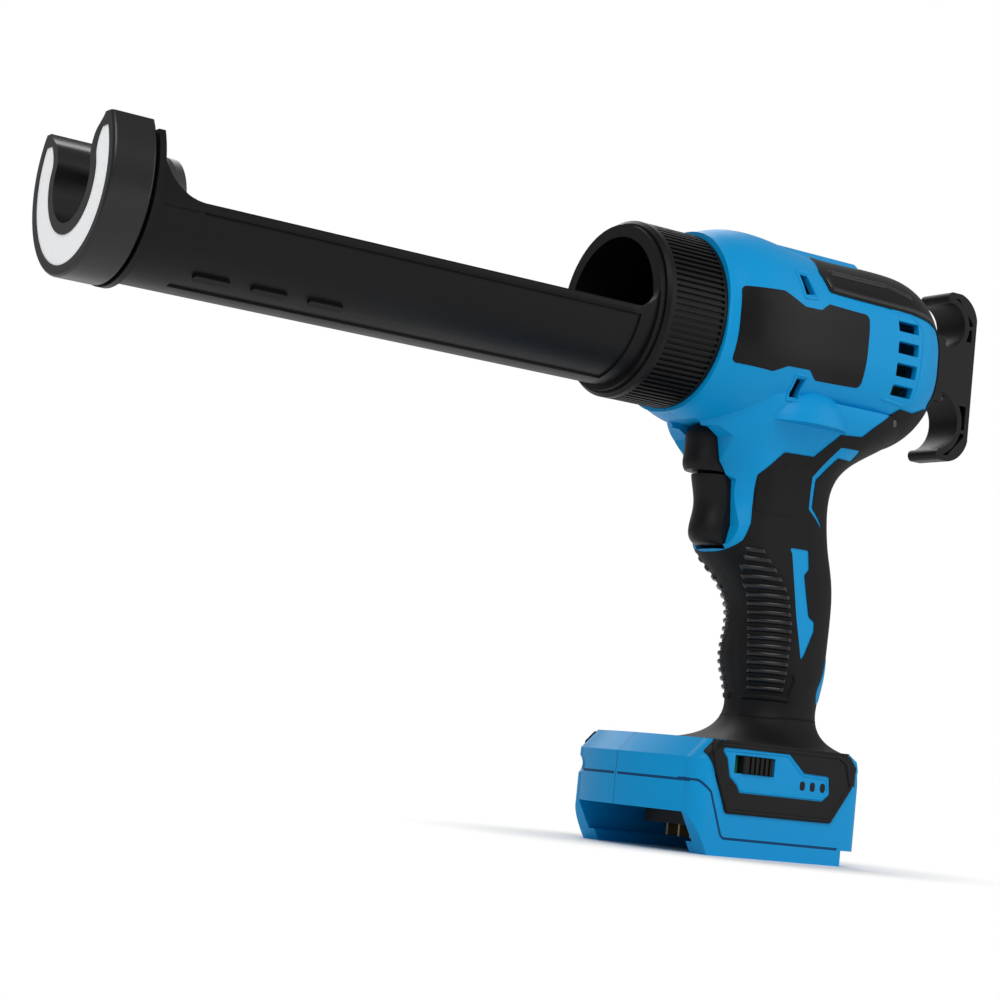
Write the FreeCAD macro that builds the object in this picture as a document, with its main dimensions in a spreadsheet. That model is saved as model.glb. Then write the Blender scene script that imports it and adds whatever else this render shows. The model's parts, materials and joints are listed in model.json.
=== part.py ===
"""Cordless caulking tool, bare of its battery, built piece by piece as a FreeCAD document.

Millimetres, +Z up. The barrel points along -X and the origin is the middle of the foot's flat
underside. The barrel line runs along X at axis_height, and left is the -Y side.
"""
import FreeCAD, Part
import math
import os
import re

import Sketcher

V = FreeCAD.Vector
doc = FreeCAD.newDocument("caulking_tool")

# Driving dimensions
DRIVING = [
    ("axis_height", 188.8),
    ("fit", 0.3),
    ("running_fit", 0.05),
    ("wall", 2.6),
    ("skin_depth", 1.4),
    ("skin_proud", 0.35),
    # Housing along the barrel line
    ("body_front", -39),
    ("body_rear", 68.5),
    ("body_half_width", 34),
    ("body_half_height", 34.3),
    ("spine_half_width", 10),
    ("spine_rise", 0.6),
    # Cartridge cradle and nose
    ("cradle_bore_radius", 26.5),
    ("trough_rise", 1.2),
    ("cradle_wall", 2.7),
    ("rim_drop", 5),
    ("trough_length", 190),
    ("gusset_length", 17),
    ("gusset_height", 15),
    ("nose_flange_length", 2.2),
    ("nose_flange_radius", 31.6),
    ("rear_ring_length", 2.2),
    ("rear_ring_radius", 30),
    ("ring_length", 14.6),
    ("ring_radius", 31.3),
    ("slot_radius", 14.3),
    ("slot_neck", 13),
    ("mouth_half_width", 21.4),
    ("mouth_height", 17.6),
    ("diffuser_outer", 27.6),
    ("diffuser_rim", 3.7),
    ("diffuser_thickness", 2.4),
    ("board_thickness", 1.6),
    # Locking collar and the spigot that it turns on
    ("collar_length", 25.8),
    ("collar_radius", 32),
    ("collar_ribs", 90),
    ("collar_rib_depth", 0.9),
    ("spigot_length", 8),
    ("spigot_radius", 29.4),
    ("spigot_bore", 25.5),
    # Rod, piston and pull handle
    ("rod_width", 9),
    ("rod_height", 8),
    ("rod_drop", 2.8),
    ("rod_travel", 198),
    ("piston_radius", 17),
    ("piston_thickness", 4),
    ("piston_clearance", 10.5),
    ("grab_front", 80),
    ("grab_rear", 101.6),
    ("grab_rise", 4.7),
    ("grab_half_height", 33),
    ("boss_up", 15),
    ("boss_down", 10.5),
    ("grab_half_width", 8),
    ("grab_web", 3),
    ("grab_rim", 2.2),
    # Drive
    ("rack_module", 1.5),
    ("pinion_teeth", 14),
    ("pinion_x", -20),
    ("shaft_radius", 4),
    ("worm_module", 1),
    ("wheel_teeth", 15),
    ("worm_pitch_radius", 4),
    ("wheel_width", 5),
    ("motor_rise", 17),
    ("motor_radius", 13),
    ("motor_length", 41),
    ("planet_module", 0.75),
    ("sun_teeth", 12),
    ("planet_teeth", 9),
    ("gear_stage_length", 16),
    ("case_rear", -7),
    ("bearing_radius", 5.5),
    ("bearing_low", -13),
    ("bearing_high", 20.9),
    ("guide_radius", 9),
    ("front_guide_radius", 8.5),
    ("hub_radius", 4.6),
    ("carrier_radius", 10.2),
    ("pin_radius", 1.4),
    ("worm_shaft_radius", 2.5),
    ("motor_shaft_radius", 1.6),
    ("bush_radius", 3.4),
    ("sleeve_radius", 7),
    ("sleeve_low", 4.5),
    ("screw_radius", 2.5),
    ("screw_head", 4.2),
    # Triggers
    ("trigger_half_width", 8),
    ("switch_front", -2.6),
    ("switch_length", 20),
    ("switch_half_width", 9.5),
    ("switch_low", 110),
    ("switch_high", 150),
    ("stem_radius", 2.4),
    ("trigger_stem_z", 122),
    ("release_stem_z", 145),
    ("lead_radius", 1.2),
    # Foot
    ("base_half_width", 37),
    ("base_top", 40),
    ("base_front", -45),
    ("base_rear", 36.6),
    ("foot_half_length", 30),
    ("foot_step", 5.6),
    ("shelf_height", 14),
    ("socket_half_width", 31),
    ("rail_lip", 3.5),
    ("rail_height", 4),
    ("terminal_low", 9),
    ("terminal_top", 22),
    ("terminal_front", -20),
    ("terminal_length", 32),
    ("terminal_half_width", 14),
    ("blade_drop", 4.5),
    ("circuit_thickness", 1.6),
]

# Sizes worked out from the driving ones, kept in the same sheet
DERIVED = [
    ("trough_height", "axis_height + trough_rise"),
    ("rod_z", "axis_height - rod_drop"),
    ("motor_z", "axis_height + motor_rise"),
    ("collar_front", "body_front - fit - collar_length"),
    ("rear_ring_front", "collar_front - rear_ring_length"),
    ("trough_front", "rear_ring_front - trough_length"),
    ("nose_flange_front", "trough_front - nose_flange_length"),
    ("nose_front", "nose_flange_front - 2 * fit - ring_length"),
    ("spigot_front", "body_front - spigot_length"),
    ("cradle_radius", "cradle_bore_radius + cradle_wall"),
    ("cradle_tail_radius", "spigot_radius - 2 * fit"),
    ("cradle_neck_radius", "cradle_tail_radius - 1.2"),
    ("case_front", "body_front + 6"),
    ("bulkhead_front", "case_front - 3"),
    ("room_front", "case_front + 1.3"),
    ("room_rear", "case_rear - 1.3"),
    ("rod_rear", "grab_front + 14"),
    ("case_radius", "body_half_width - wall - fit"),
    ("pinion_radius", "rack_module * pinion_teeth / 2"),
    ("rack_line", "rod_width / 2 - 0.8 * rack_module"),
    ("pinion_y", "rack_line + pinion_radius"),
    ("wheel_radius", "worm_module * wheel_teeth / 2"),
    ("worm_y", "pinion_y - wheel_radius - worm_pitch_radius"),
    ("piston_front", "trough_front + piston_clearance"),
    ("rod_front", "piston_front + piston_thickness"),
    ("motor_front", "case_rear + gear_stage_length"),
    ("motor_rear", "motor_front + motor_length"),
    ("ring_teeth", "sun_teeth + 2 * planet_teeth"),
    ("planet_orbit", "planet_module * (sun_teeth + planet_teeth) / 2"),
]

sheet = doc.addObject("Spreadsheet::Sheet", "dims")
for row, (alias, value) in enumerate(DRIVING, start=1):
    sheet.set(f"A{row}", alias)
    sheet.set(f"B{row}", str(value))
    sheet.setAlias(f"B{row}", alias)
for row, (alias, formula) in enumerate(DERIVED, start=1):
    sheet.set(f"D{row}", alias)
    sheet.set(f"E{row}", "=" + formula)
    sheet.setAlias(f"E{row}", alias)
doc.recompute()

ALIASES = {alias for alias, _ in DRIVING} | {alias for alias, _ in DERIVED}


def d(alias):
    """The number that a cell of the sheet holds."""
    return float(sheet.get(alias))


def bound(text):
    """An expression in aliases, written out for setExpression."""
    return re.sub(r"[a-z_]+", lambda m: "dims." + m[0] if m[0] in ALIASES else m[0], text)


nodes = {}


def keep(obj, label):
    """Name a sub-part and list it for export."""
    obj.Label = label
    nodes[label] = obj
    return obj


def feature(label, shape):
    """A sub-part whose shape is worked out with Part's own functions."""
    obj = doc.addObject("Part::Feature", label)
    obj.Shape = shape
    obj.Placement = shape.Placement
    return keep(obj, label)


# Objects bound to the sheet

AXIS_TURN = {
    "x": FreeCAD.Rotation(V(0, 1, 0), 90),
    "y": FreeCAD.Rotation(V(1, 0, 0), -90),
    "z": FreeCAD.Rotation(),
}


def place(obj, at):
    """Bind an object's corner or centre to three expressions."""
    for name, text in zip("xyz", at):
        obj.setExpression(f".Placement.Base.{name}", bound(text))
    return obj


def rod_of(axis, radius, length, at, name="rod"):
    """A cylinder that runs from a point along one axis."""
    obj = doc.addObject("Part::Cylinder", name)
    obj.setExpression("Radius", bound(radius))
    obj.setExpression("Height", bound(length))
    obj.Placement.Rotation = AXIS_TURN[axis]
    return place(obj, at)


def block(size, at, name="block"):
    """A box from its lowest corner."""
    obj = doc.addObject("Part::Box", name)
    for prop, text in zip(("Length", "Width", "Height"), size):
        obj.setExpression(prop, bound(text))
    return place(obj, at)


def joined(*parts):
    """One solid made of several."""
    obj = doc.addObject("Part::MultiFuse", "joined")
    obj.Shapes = list(parts)
    return obj


def without(base, *tools):
    """A solid less some others."""
    obj = doc.addObject("Part::Cut", "without")
    obj.Base = base
    obj.Tool = tools[0] if len(tools) == 1 else joined(*tools)
    return obj


def group_of(*parts):
    """Separate like solids that share one node."""
    obj = doc.addObject("Part::Compound", "group")
    obj.Links = list(parts)
    return obj


def sketch_on(body, role, points):
    """A closed polygon on one of a body's origin planes, each corner bound to the sheet."""
    sketch = body.newObject("Sketcher::SketchObject", "outline")
    plane = next(f for f in body.Origin.OriginFeatures if f.Role == role)
    sketch.AttachmentSupport = [(plane, "")]
    sketch.MapMode = "FlatFace"
    texts = [[bound(t) for t in point] for point in points]
    corners = [V(*(float(sheet.evalExpression(t)) for t in pair), 0) for pair in texts]
    count = len(corners)
    for i, corner in enumerate(corners):
        sketch.addGeometry(Part.LineSegment(corner, corners[(i + 1) % count]))
    for i in range(count):
        sketch.addConstraint(Sketcher.Constraint("Coincident", i, 2, (i + 1) % count, 1))
    for i, (corner, pair) in enumerate(zip(corners, texts)):
        for kind, number, text in zip(("DistanceX", "DistanceY"), (corner.x, corner.y), pair):
            index = sketch.addConstraint(Sketcher.Constraint(kind, -1, 1, i, 1, number))
            sketch.setExpression(f"Constraints[{index}]", text)
    return sketch


def turned(label, points, height="axis_height", y="0"):
    """A body turned about the X direction: each corner is (x, radius)."""
    body = doc.addObject("PartDesign::Body", label)
    sketch = sketch_on(body, "XZ_Plane", points)
    spin = body.newObject("PartDesign::Revolution", "turning")
    spin.Profile = sketch
    spin.ReferenceAxis = (sketch, ["H_Axis"])
    spin.Angle = 360
    place(body, ("0", y, height))
    return body


# Shapes worked out with Part's own functions


def rounded_wire(corners, radius):
    """A closed outline whose corners are arcs, each no longer than its sides allow."""
    edges = []
    ends = []
    count = len(corners)
    for i, corner in enumerate(corners):
        back = corners[i - 1] - corner
        ahead = corners[(i + 1) % count] - corner
        half = back.getAngle(ahead) / 2
        reach = min(radius / math.tan(half), 0.47 * back.Length, 0.47 * ahead.Length)
        back.normalize()
        ahead.normalize()
        start = corner + back * reach
        stop = corner + ahead * reach
        middle = (back + ahead).normalize()
        arc_radius = reach * math.tan(half)
        crown = corner + middle * (arc_radius / math.sin(half) - arc_radius)
        ends.append((start, stop))
        edges.append(Part.Arc(start, crown, stop).toShape())
    runs = [Part.makeLine(ends[i][1], ends[(i + 1) % count][0]) for i in range(count)]
    order = [edge for pair in zip(edges, runs) for edge in pair]
    return Part.Wire(order)


def side_points(pairs):
    """Corners of a side outline, as (x, height) pairs."""
    return [V(x, 0, z) for x, z in pairs]


def side_prism(wire, low, high):
    """A side outline drawn at y = 0, carried from y = low to y = high."""
    face = Part.Face(wire)
    face.translate(V(0, low, 0))
    return face.extrude(V(0, high - low, 0))


def polygon(points):
    """A closed straight-sided outline."""
    return Part.makePolygon(points + points[:1])


def barrel_shape(grow):
    """The housing along the barrel line, grown or shrunk by a skin's thickness."""
    half_width = d("body_half_width")
    half_height = d("body_half_height")
    front = d("body_front")
    rear = d("body_rear")
    # Each row: place along X, how far it leans with the ends, and what is left of the full size
    rows = [
        (front, -1.0, 0.96),
        (front + 5, -0.3, 1.0),
        (front + 45, 0.0, 1.0),
        (rear - 22, 0.0, 0.995),
        (rear - 13, 0.25, 0.965),
        (rear - 6, 0.6, 0.87),
        (rear - 2, 0.85, 0.76),
        (rear, 1.0, 0.66),
    ]
    sections = []
    for x, lean, share in rows:
        wide = half_width * share + grow
        high = half_height * share + grow
        at = x + lean * grow
        centre = d("axis_height")
        corners = [V(at, sy * wide, centre + sz * high) for sy, sz in ((-1, -1), (1, -1), (1, 1), (-1, 1))]
        sections.append(rounded_wire(corners, 0.92 * min(wide, high)))
    return Part.makeLoft(sections, True, False)


# Handle sections: height above the floor, front and rear along X, half the width, corner share
GRIP_SECTIONS = [
    ("crown", 166, -36, 62, 29.0, 0.9),
    ("shoulder", 154, -30, 53, 25.0, 0.9),
    ("throat", 144, -23, 38.8, 20.4, 0.9),
    ("finger", 128, -14.5, 34.2, 17.8, 0.9),
    ("lip", 110, -14.5, 37.6, 17.0, 0.9),
    ("chin", 104, -8.0, 39.2, 17.0, 0.9),
    ("palm_top", 96, 0.0, 40.3, 17.0, 0.9),
    ("palm", 79, 3.0, 40.0, 17.5, 0.9),
    ("heel", 61, 5.4, 38.4, 17.0, 0.9),
    ("neck", 50.5, 5.2, 37.8, 17.0, 0.9),
    ("flare", 44.5, 0.5, 39.6, 20.8, 0.8),
    ("seat", 39.4, -17, 30, 33.5, 0.5),
]


# The hollow runs straight down from the neck into the foot
HOLLOW_SECTIONS = GRIP_SECTIONS[:-2] + [("way_down", 36, 5.2, 37.0, 17.0, 0.9)]


def grip_shape(grow, rows=GRIP_SECTIONS):
    """The handle, grown or shrunk by a skin's thickness."""
    sections = []
    for _, z, front, rear, half_width, share in rows:
        low, high, wide = front - grow, rear + grow, half_width + grow
        corners = [V(low, -wide, z), V(high, -wide, z), V(high, wide, z), V(low, wide, z)]
        sections.append(rounded_wire(corners, share * wide))
    return Part.makeLoft(sections, True, False)


def base_shape(grow):
    """The foot block: its side outline met by its plan, which bows forward at the front."""
    front, rear, top = d("base_front") - grow, d("base_rear") + grow, d("base_top") + grow
    foot, step, shelf = d("foot_half_length") + grow, d("foot_step"), d("shelf_height")
    floor = -min(grow, 0)
    chamfer = 7
    outline = [
        (front, shelf),
        (front, top),
        (rear - 6.5, top),
        (rear - 2.5, top - 2.5),
        (rear, top - 11),
        (rear + 2, top - 16),
        (rear + 1.5, step),
        (foot, step),
        (foot, floor),
        (-foot, floor),
        (-foot - 8, shelf),
    ]
    side = side_prism(polygon(side_points(outline)), -2 * d("base_half_width"), 2 * d("base_half_width"))
    wide = d("base_half_width") + grow
    bow = 7
    tip = V(front, 0, 0)
    back = rear + 2
    corner = 6 + grow
    near = V(front + bow, -wide + corner, 0)
    far = V(front + bow, wide - corner, 0)
    plan = Part.Wire([
        Part.Arc(far, tip, near).toShape(),
        Part.Arc(near, near + V(corner * 0.3, -corner * 0.7, 0), near + V(corner, -corner, 0)).toShape(),
        Part.makeLine(near + V(corner, -corner, 0), V(back - corner, -wide, 0)),
        Part.Arc(V(back - corner, -wide, 0), V(back - corner * 0.3, -wide + corner * 0.3, 0),
                 V(back, -wide + corner, 0)).toShape(),
        Part.makeLine(V(back, -wide + corner, 0), V(back, wide - corner, 0)),
        Part.Arc(V(back, wide - corner, 0), V(back - corner * 0.3, wide - corner * 0.3, 0),
                 V(back - corner, wide, 0)).toShape(),
        Part.makeLine(V(back - corner, wide, 0), far + V(corner, corner, 0)),
        Part.Arc(far + V(corner, corner, 0), far + V(corner * 0.3, corner * 0.7, 0), far).toShape(),
    ])
    # The top edge of the front slants back all along the bow
    slant = plan.copy()
    plan.translate(V(0, 0, top - chamfer))
    slant.translate(V(chamfer, 0, top))
    footprint = Part.Face(plan).extrude(V(0, 0, -2 * top)).fuse(Part.makeLoft([plan, slant], True, True))
    return side.common(footprint)


def tool_shape(grow):
    """Barrel and handle as one form."""
    return barrel_shape(grow).fuse(grip_shape(grow))


def axle(x, radius, length, y=0.0, z=None):
    """A plain cylinder along X, on the barrel line unless told otherwise."""
    return Part.makeCylinder(radius, length, V(x, y, d("axis_height") if z is None else z), V(1, 0, 0))


# Nose: ring housing, white diffuser and its lamp board


def mouth_wire(x, grow, top):
    """The U slot of the nose seen from the front: a round bottom, a narrower neck, flared lips."""
    r = d("slot_radius") + grow
    neck = d("slot_neck") + grow
    lip = d("mouth_half_width") + grow
    z = d("trough_height")
    lift = d("mouth_height")
    right = [V(x, r, z), V(x, neck, z + 0.37 * lift), V(x, neck + 0.25 * (lip - neck), z + 0.7 * lift),
             V(x, lip, z + lift)]
    curve = Part.BSplineCurve()
    curve.interpolate(right, InitialTangent=V(0, 0, 1), FinalTangent=V(0, 1, 1.1))
    left = [V(x, -p.y, p.z) for p in right]
    mirror = Part.BSplineCurve()
    mirror.interpolate(left, InitialTangent=V(0, 0, 1), FinalTangent=V(0, -1, 1.1))
    bowl = Part.Arc(right[0], V(x, 0, z - r), left[0])
    tall = V(0, 0, top)
    roof = [Part.makeLine(right[-1], right[-1] + tall), Part.makeLine(right[-1] + tall, left[-1] + tall),
            Part.makeLine(left[-1] + tall, left[-1])]
    return Part.Wire(Part.__sortEdges__([bowl.toShape(), curve.toShape(), mirror.toShape()] + roof))


def mouth_cut(x, length, grow=0.0):
    """What the U slot takes out of the nose."""
    return Part.Face(mouth_wire(x, grow, 3 * d("ring_radius"))).extrude(V(length, 0, 0))


def horseshoe(x, length, outer, rim):
    """A U band inside the ring, tapering up the two prongs."""
    band = axle(x, outer, length, 0, d("trough_height")).cut(mouth_cut(x, length, rim))
    low = d("trough_height") + 0.75 * d("mouth_height")
    top = Part.makeBox(length, 4 * outer, 2 * outer, V(x, -2 * outer, low))
    return band.cut(top)


def prong_trim(x, length, lower=0):
    """Everything above the tips of the two prongs."""
    z = d("trough_height") + d("mouth_height") - lower
    wide = 4 * d("ring_radius")
    return Part.makeBox(length, wide, wide, V(x, -wide / 2, z))


def nose():
    front, length, radius = d("nose_front"), d("ring_length"), d("ring_radius")
    pocket = d("diffuser_thickness") + d("board_thickness") + d("fit")
    ring = axle(front, radius, length, 0, d("trough_height"))
    ring = ring.makeFillet(1.2, [e for e in ring.Edges if e.Length > 1.5 * math.pi * radius])
    ring = ring.cut(mouth_cut(front - 1, length + 2)).cut(prong_trim(front - 1, length + 2))
    ring = ring.cut(horseshoe(front, pocket, d("diffuser_outer") + d("running_fit"),
                              d("diffuser_rim") - d("running_fit")))
    recess = 0.4
    diffuser = horseshoe(front + recess, d("diffuser_thickness") - recess,
                         d("diffuser_outer"), d("diffuser_rim"))
    board = horseshoe(front + d("diffuser_thickness") + d("fit"), d("board_thickness"),
                      d("diffuser_outer") - d("fit"), d("diffuser_rim") + d("fit"))
    screws = []
    holes = []
    for angle in (-150, -90, -30):
        y = 23 * math.cos(math.radians(angle))
        z = d("trough_height") + 23 * math.sin(math.radians(angle))
        seat = d("trough_front")
        grip = d("nose_flange_length") + 2 * d("fit") + 6
        screws.append(axle(seat - grip, 1.1, grip, y, z).fuse(axle(seat, 2.1, 1.4, y, z)))
        holes.append(axle(seat - grip - 0.2, 1.1 + d("running_fit"), grip + 0.2, y, z))
    feature("nose_ring", ring.cut(Part.makeCompound(holes)))
    feature("light_diffuser", diffuser)
    feature("light_board", board)
    feature("nose_screws", Part.makeCompound(screws))
    return Part.makeCompound(holes)


def cradle(screw_holes):
    """The trough that carries the cartridge, with its nose flange, rear ring and swivel tail."""
    start, flange = d("trough_front"), d("nose_flange_front")
    rear = d("rear_ring_front")
    z, bore, outside = d("trough_height"), d("cradle_bore_radius"), d("cradle_radius")
    reach = d("trough_length")
    tube = axle(start, outside, reach, 0, z).cut(axle(start, bore, reach, 0, z))
    rim = z - d("rim_drop")
    long, tall = d("gusset_length"), d("gusset_height")
    # Side outline of all that stays: rim, and a hollow curve rising to the flange and to the rear ring
    foot_z = z - 2 * outside
    rear_long = 8
    edges = [
        Part.makeLine(V(start, 0, foot_z), V(start, 0, rim + tall)),
        Part.Arc(V(start, 0, rim + tall), V(start + 0.3 * long, 0, rim + 0.3 * tall),
                 V(start + long, 0, rim)).toShape(),
        Part.makeLine(V(start + long, 0, rim), V(rear - rear_long, 0, rim)),
        Part.Arc(V(rear - rear_long, 0, rim), V(rear - 0.3 * rear_long, 0, rim + 0.3 * rear_long),
                 V(rear, 0, rim + rear_long)).toShape(),
        Part.makeLine(V(rear, 0, rim + rear_long), V(rear, 0, foot_z)),
        Part.makeLine(V(rear, 0, foot_z), V(start, 0, foot_z)),
    ]
    trough = tube.common(side_prism(Part.Wire(edges), -2 * outside, 2 * outside))
    # Long shallow side panels, framed by the rim lip, the keel and the rear end
    panel_depth, lip, keel_half_width = 0.7, 2.7, 6
    panel_long = reach - 22
    panel = axle(start + 16, 2 * outside, panel_long, 0, z)
    panel = panel.cut(axle(start + 16, outside - panel_depth, panel_long, 0, z))
    slab = Part.makeBox(panel_long, 4 * outside, outside - lip - d("rim_drop"),
                        V(start + 16, -2 * outside, z - outside))
    keel_corner = V(start + 16, -keel_half_width, z - 3 * outside)
    keel = Part.makeBox(panel_long, 2 * keel_half_width, 4 * outside, keel_corner)
    trough = trough.cut(panel.common(slab).cut(keel))
    # Three raised oblong bars low on each side
    bars = []
    for k in range(3):
        for side in (-1, 1):
            bar = Part.makeBox(13, 2.6, 2.6, V(start + 21 + 20.6 * k, -1.3, -1.3))
            bar = bar.makeFillet(1.2, [e for e in bar.Edges if abs(e.tangentAt(e.FirstParameter).y) > 0.9])
            bar.translate(V(0, -(outside - 0.75), 0))
            bar.rotate(V(0, 0, 0), V(1, 0, 0), 61)
            if side > 0:
                bar = bar.mirror(V(0, 0, 0), V(0, 1, 0))
            bar.translate(V(0, 0, z))
            bars.append(bar)
    plate = axle(flange, d("nose_flange_radius"), start - flange, 0, z)
    plate = plate.cut(mouth_cut(flange - 1, 3 * start - 3 * flange))
    plate = plate.cut(prong_trim(flange - 1, 2 * (start - flange), 3))
    ring = axle(rear, d("rear_ring_radius"), d("rear_ring_length") - d("fit"))
    tail = axle(rear, d("cradle_neck_radius"), d("spigot_front") - d("fit") - rear)
    lug = axle(d("spigot_front") - d("fit") - 4, d("cradle_tail_radius"), 4)
    hollow = axle(rear - 1, d("spigot_bore"), d("spigot_front") - rear + 2)
    solid = trough.fuse([plate, ring, tail, lug] + bars).cut(hollow).cut(screw_holes)
    feature("cartridge_cradle", solid.removeSplitter())


def collar():
    """Knurled collar: it turns on the spigot and holds the cradle's tail by a front lip."""
    body = turned("locking_collar", [
        ("collar_front", "cradle_neck_radius + running_fit"),
        ("collar_front", "collar_radius - 1.2"),
        ("collar_front + 1.2", "collar_radius"),
        ("body_front - fit", "collar_radius"),
        ("body_front - fit", "spigot_radius + running_fit"),
        ("spigot_front - 4 - 2 * fit", "spigot_radius + running_fit"),
        ("spigot_front - 4 - 2 * fit", "cradle_neck_radius + running_fit"),
    ])
    groove = body.newObject("PartDesign::Pocket", "knurl_groove")
    sketch = body.newObject("Sketcher::SketchObject", "knurl_outline")
    plane = next(f for f in body.Origin.OriginFeatures if f.Role == "XY_Plane")
    sketch.AttachmentSupport = [(plane, "")]
    sketch.MapMode = "FlatFace"
    groove_foot = d("collar_radius") - d("collar_rib_depth")
    sketch.AttachmentOffset = FreeCAD.Placement(V(0, 0, groove_foot), FreeCAD.Rotation())
    sketch.setExpression("AttachmentOffset.Base.z", bound("collar_radius - collar_rib_depth"))
    half = 0.28 * 2 * math.pi * d("collar_radius") / d("collar_ribs")
    low, high = d("collar_front") + 3.2, d("body_front") - d("fit") - 1.4
    corners = [V(low, -half, 0), V(high, -half, 0), V(high, half, 0), V(low, half, 0)]
    for i, corner in enumerate(corners):
        sketch.addGeometry(Part.LineSegment(corner, corners[(i + 1) % 4]))
    for i in range(4):
        sketch.addConstraint(Sketcher.Constraint("Coincident", i, 2, (i + 1) % 4, 1))
    texts = [("collar_front + 3.2", -half), ("body_front - fit - 1.4", -half),
             ("body_front - fit - 1.4", half), ("collar_front + 3.2", half)]
    for i, (text, y) in enumerate(texts):
        index = sketch.addConstraint(Sketcher.Constraint("DistanceX", -1, 1, i, 1, corners[i].x))
        sketch.setExpression(f"Constraints[{index}]", bound(text))
        sketch.addConstraint(Sketcher.Constraint("DistanceY", -1, 1, i, 1, y))
    groove.Profile = sketch
    groove.Type = "Length"
    groove.Reversed = True
    groove.setExpression("Length", bound("2 * collar_rib_depth"))
    doc.recompute()
    pattern = body.newObject("PartDesign::PolarPattern", "knurl")
    pattern.Originals = [groove]
    pattern.Axis = (next(f for f in body.Origin.OriginFeatures if f.Role == "X_Axis"), [""])
    pattern.Angle = 360
    pattern.setExpression("Occurrences", bound("collar_ribs"))
    body.Tip = pattern
    keep(body, "locking_collar")


# Housing halves, skins and plates

# Side outlines as (x, height) pairs, on the left side and mirrored to the right
GRIP_COVER = [
    (-7.4, 136.8), (-7.0, 127.7), (-7.4, 119.3), (-9.4, 112.6), (-13.0, 108.0), (-18.0, 105.4),
    (-50.0, 104.4), (-50.0, 40.2), (80.0, 40.2), (90.0, 171.5), (61.0, 171.5), (54.0, 168.6), (47.0, 169.0),
    (36.6, 160.8), (32.2, 156.3), (22.6, 155.6), (14.5, 146.4), (1.0, 146.0),
]
GRIP_SLASH = [
    (10.4, 112.6), (19.4, 112.7), (20.4, 105.8), (18.6, 103.3), (22.2, 88.6), (25.0, 86.8), (25.0, 83.4),
    (21.0, 74.0), (19.6, 72.2), (11.8, 110.4),
]
GRIP_LINE = [
    (25.0, 151.4), (35.2, 151.8), (34.2, 147.6), (25.8, 147.6), (18.2, 138.6), (18.6, 128.2), (24.0, 123.4),
    (25.4, 120.2), (22.6, 123.2), (17.0, 127.6), (16.2, 139.4),
]
REAR_COVER = [
    (5.0, 213.0), (7.0, 205.4), (47.4, 204.6), (56.0, 203.5), (63.0, 201.5), (66.0, 195.0), (66.5, 185.0),
    (65.5, 178.0), (61.0, 171.9), (95.0, 171.9), (95.0, 245.0), (35.0, 245.0), (35.0, 221.0), (9.0, 221.0),
]
SIDE_PLATE = [
    (-34.8, 199.5), (-17.1, 200.8), (-6.9, 196.9), (1.5, 197.4), (5.9, 200.5), (25.2, 200.1), (24.9, 172.9),
    (3.5, 172.1), (-0.6, 175.1), (-11.7, 174.5), (-17.8, 171.6), (-34.7, 172.2),
]
BASE_PANEL = [
    (-37.5, 39.4), (-30.8, 31.0), (-23.9, 14.8), (23.6, 14.8), (32.7, 28.4), (29.7, 37.1), (25.8, 39.4),
]
BASE_BEZEL = [
    (-28.3, 37.4), (2.3, 37.9), (10.0, 31.5), (21.4, 31.2), (22.2, 24.9), (19.2, 22.3), (-18.6, 22.3),
    (-20.1, 24.8), (-23.5, 27.5), (-25.2, 33.8),
]
WINDOWS = [
    [(-8.0, 209.2), (-3.8, 209.1), (-1.4, 202.4), (-6.4, 201.6)],
    [(-5.6, 171.6), (-1.2, 171.7), (-2.1, 165.0), (-6.0, 164.7)],
]
VENT_ROWS = [(196.9, 200.9), (188.6, 193.2), (180.1, 185.1), (173.1, 177.1)]
VENT_FRONT, VENT_REAR = 39.5, 49.5
SLIDER_WINDOW = (-21.5, -3.6, 29.0, 35.3)
SLIDER_KNOB = (-18.2, -5.0)
LAMPS_X = (9.6, 14.2, 18.9)
LAMPS_Z = 27

# Screw bosses across the housing, as (x, height)
BOSSES = [(20, 160), (47, 163.5), (30, 121), (21, 66), (-37, 27)]


def cover_prism(outline, radius, side, windows=()):
    """A side outline with rounded corners, carried out past one side of the tool."""
    reach = 2 * d("body_half_width") * side
    solid = side_prism(rounded_wire(side_points(outline), radius), 0, reach)
    for window in windows:
        solid = solid.cut(side_prism(rounded_wire(side_points(window), 0.8), 0, reach))
    return solid


def spine():
    """The raised rib along the top of the housing."""
    top = d("axis_height") + d("body_half_height") + d("spine_rise")
    half = d("spine_half_width")
    outline = [(-34, top - 5), (-22, top - 1.2), (-12, top), (35, top), (35, top - 10), (-34, top - 10)]
    foot = half + 12
    long = side_prism(polygon(side_points(outline)), -foot, foot)
    cross = [V(-40, -foot, top - 10), V(-40, -half, top), V(-40, half, top), V(-40, foot, top - 10)]
    return long.common(Part.Face(polygon(cross)).extrude(V(80, 0, 0)))


def gear_bulge(side):
    """The half dome low on the housing's flank, flat underneath."""
    grow = FreeCAD.Matrix()
    grow.scale(V(18.5, 12.5, 15))
    dome = Part.makeSphere(1).transformGeometry(grow)
    dome.translate(V(7.5, side * 21, d("axis_height") - 32.5))
    keep_box = Part.makeBox(60, 60, 30, V(-25, -30 + side * 30, d("axis_height") - 32.5))
    return dome.common(keep_box)


# Front edge of the cheeks that stand beside the triggers
CHEEK_FRONT = [
    (-60.0, 152.0), (-25.5, 152.0), (-20.5, 149.0), (-18.0, 137.5), (-12.5, 134.5), (-11.0, 118.0),
    (-12.5, 111.2), (-16.5, 109.2), (-60.0, 109.2),
]


def cheek_block():
    """The part of the handle round the triggers that stays solid."""
    rear, low, high, half = d("switch_front") - 0.1, 104, 155, 25
    return Part.makeBox(40, 2 * half, high - low, V(rear - 40, -half, low))


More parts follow.
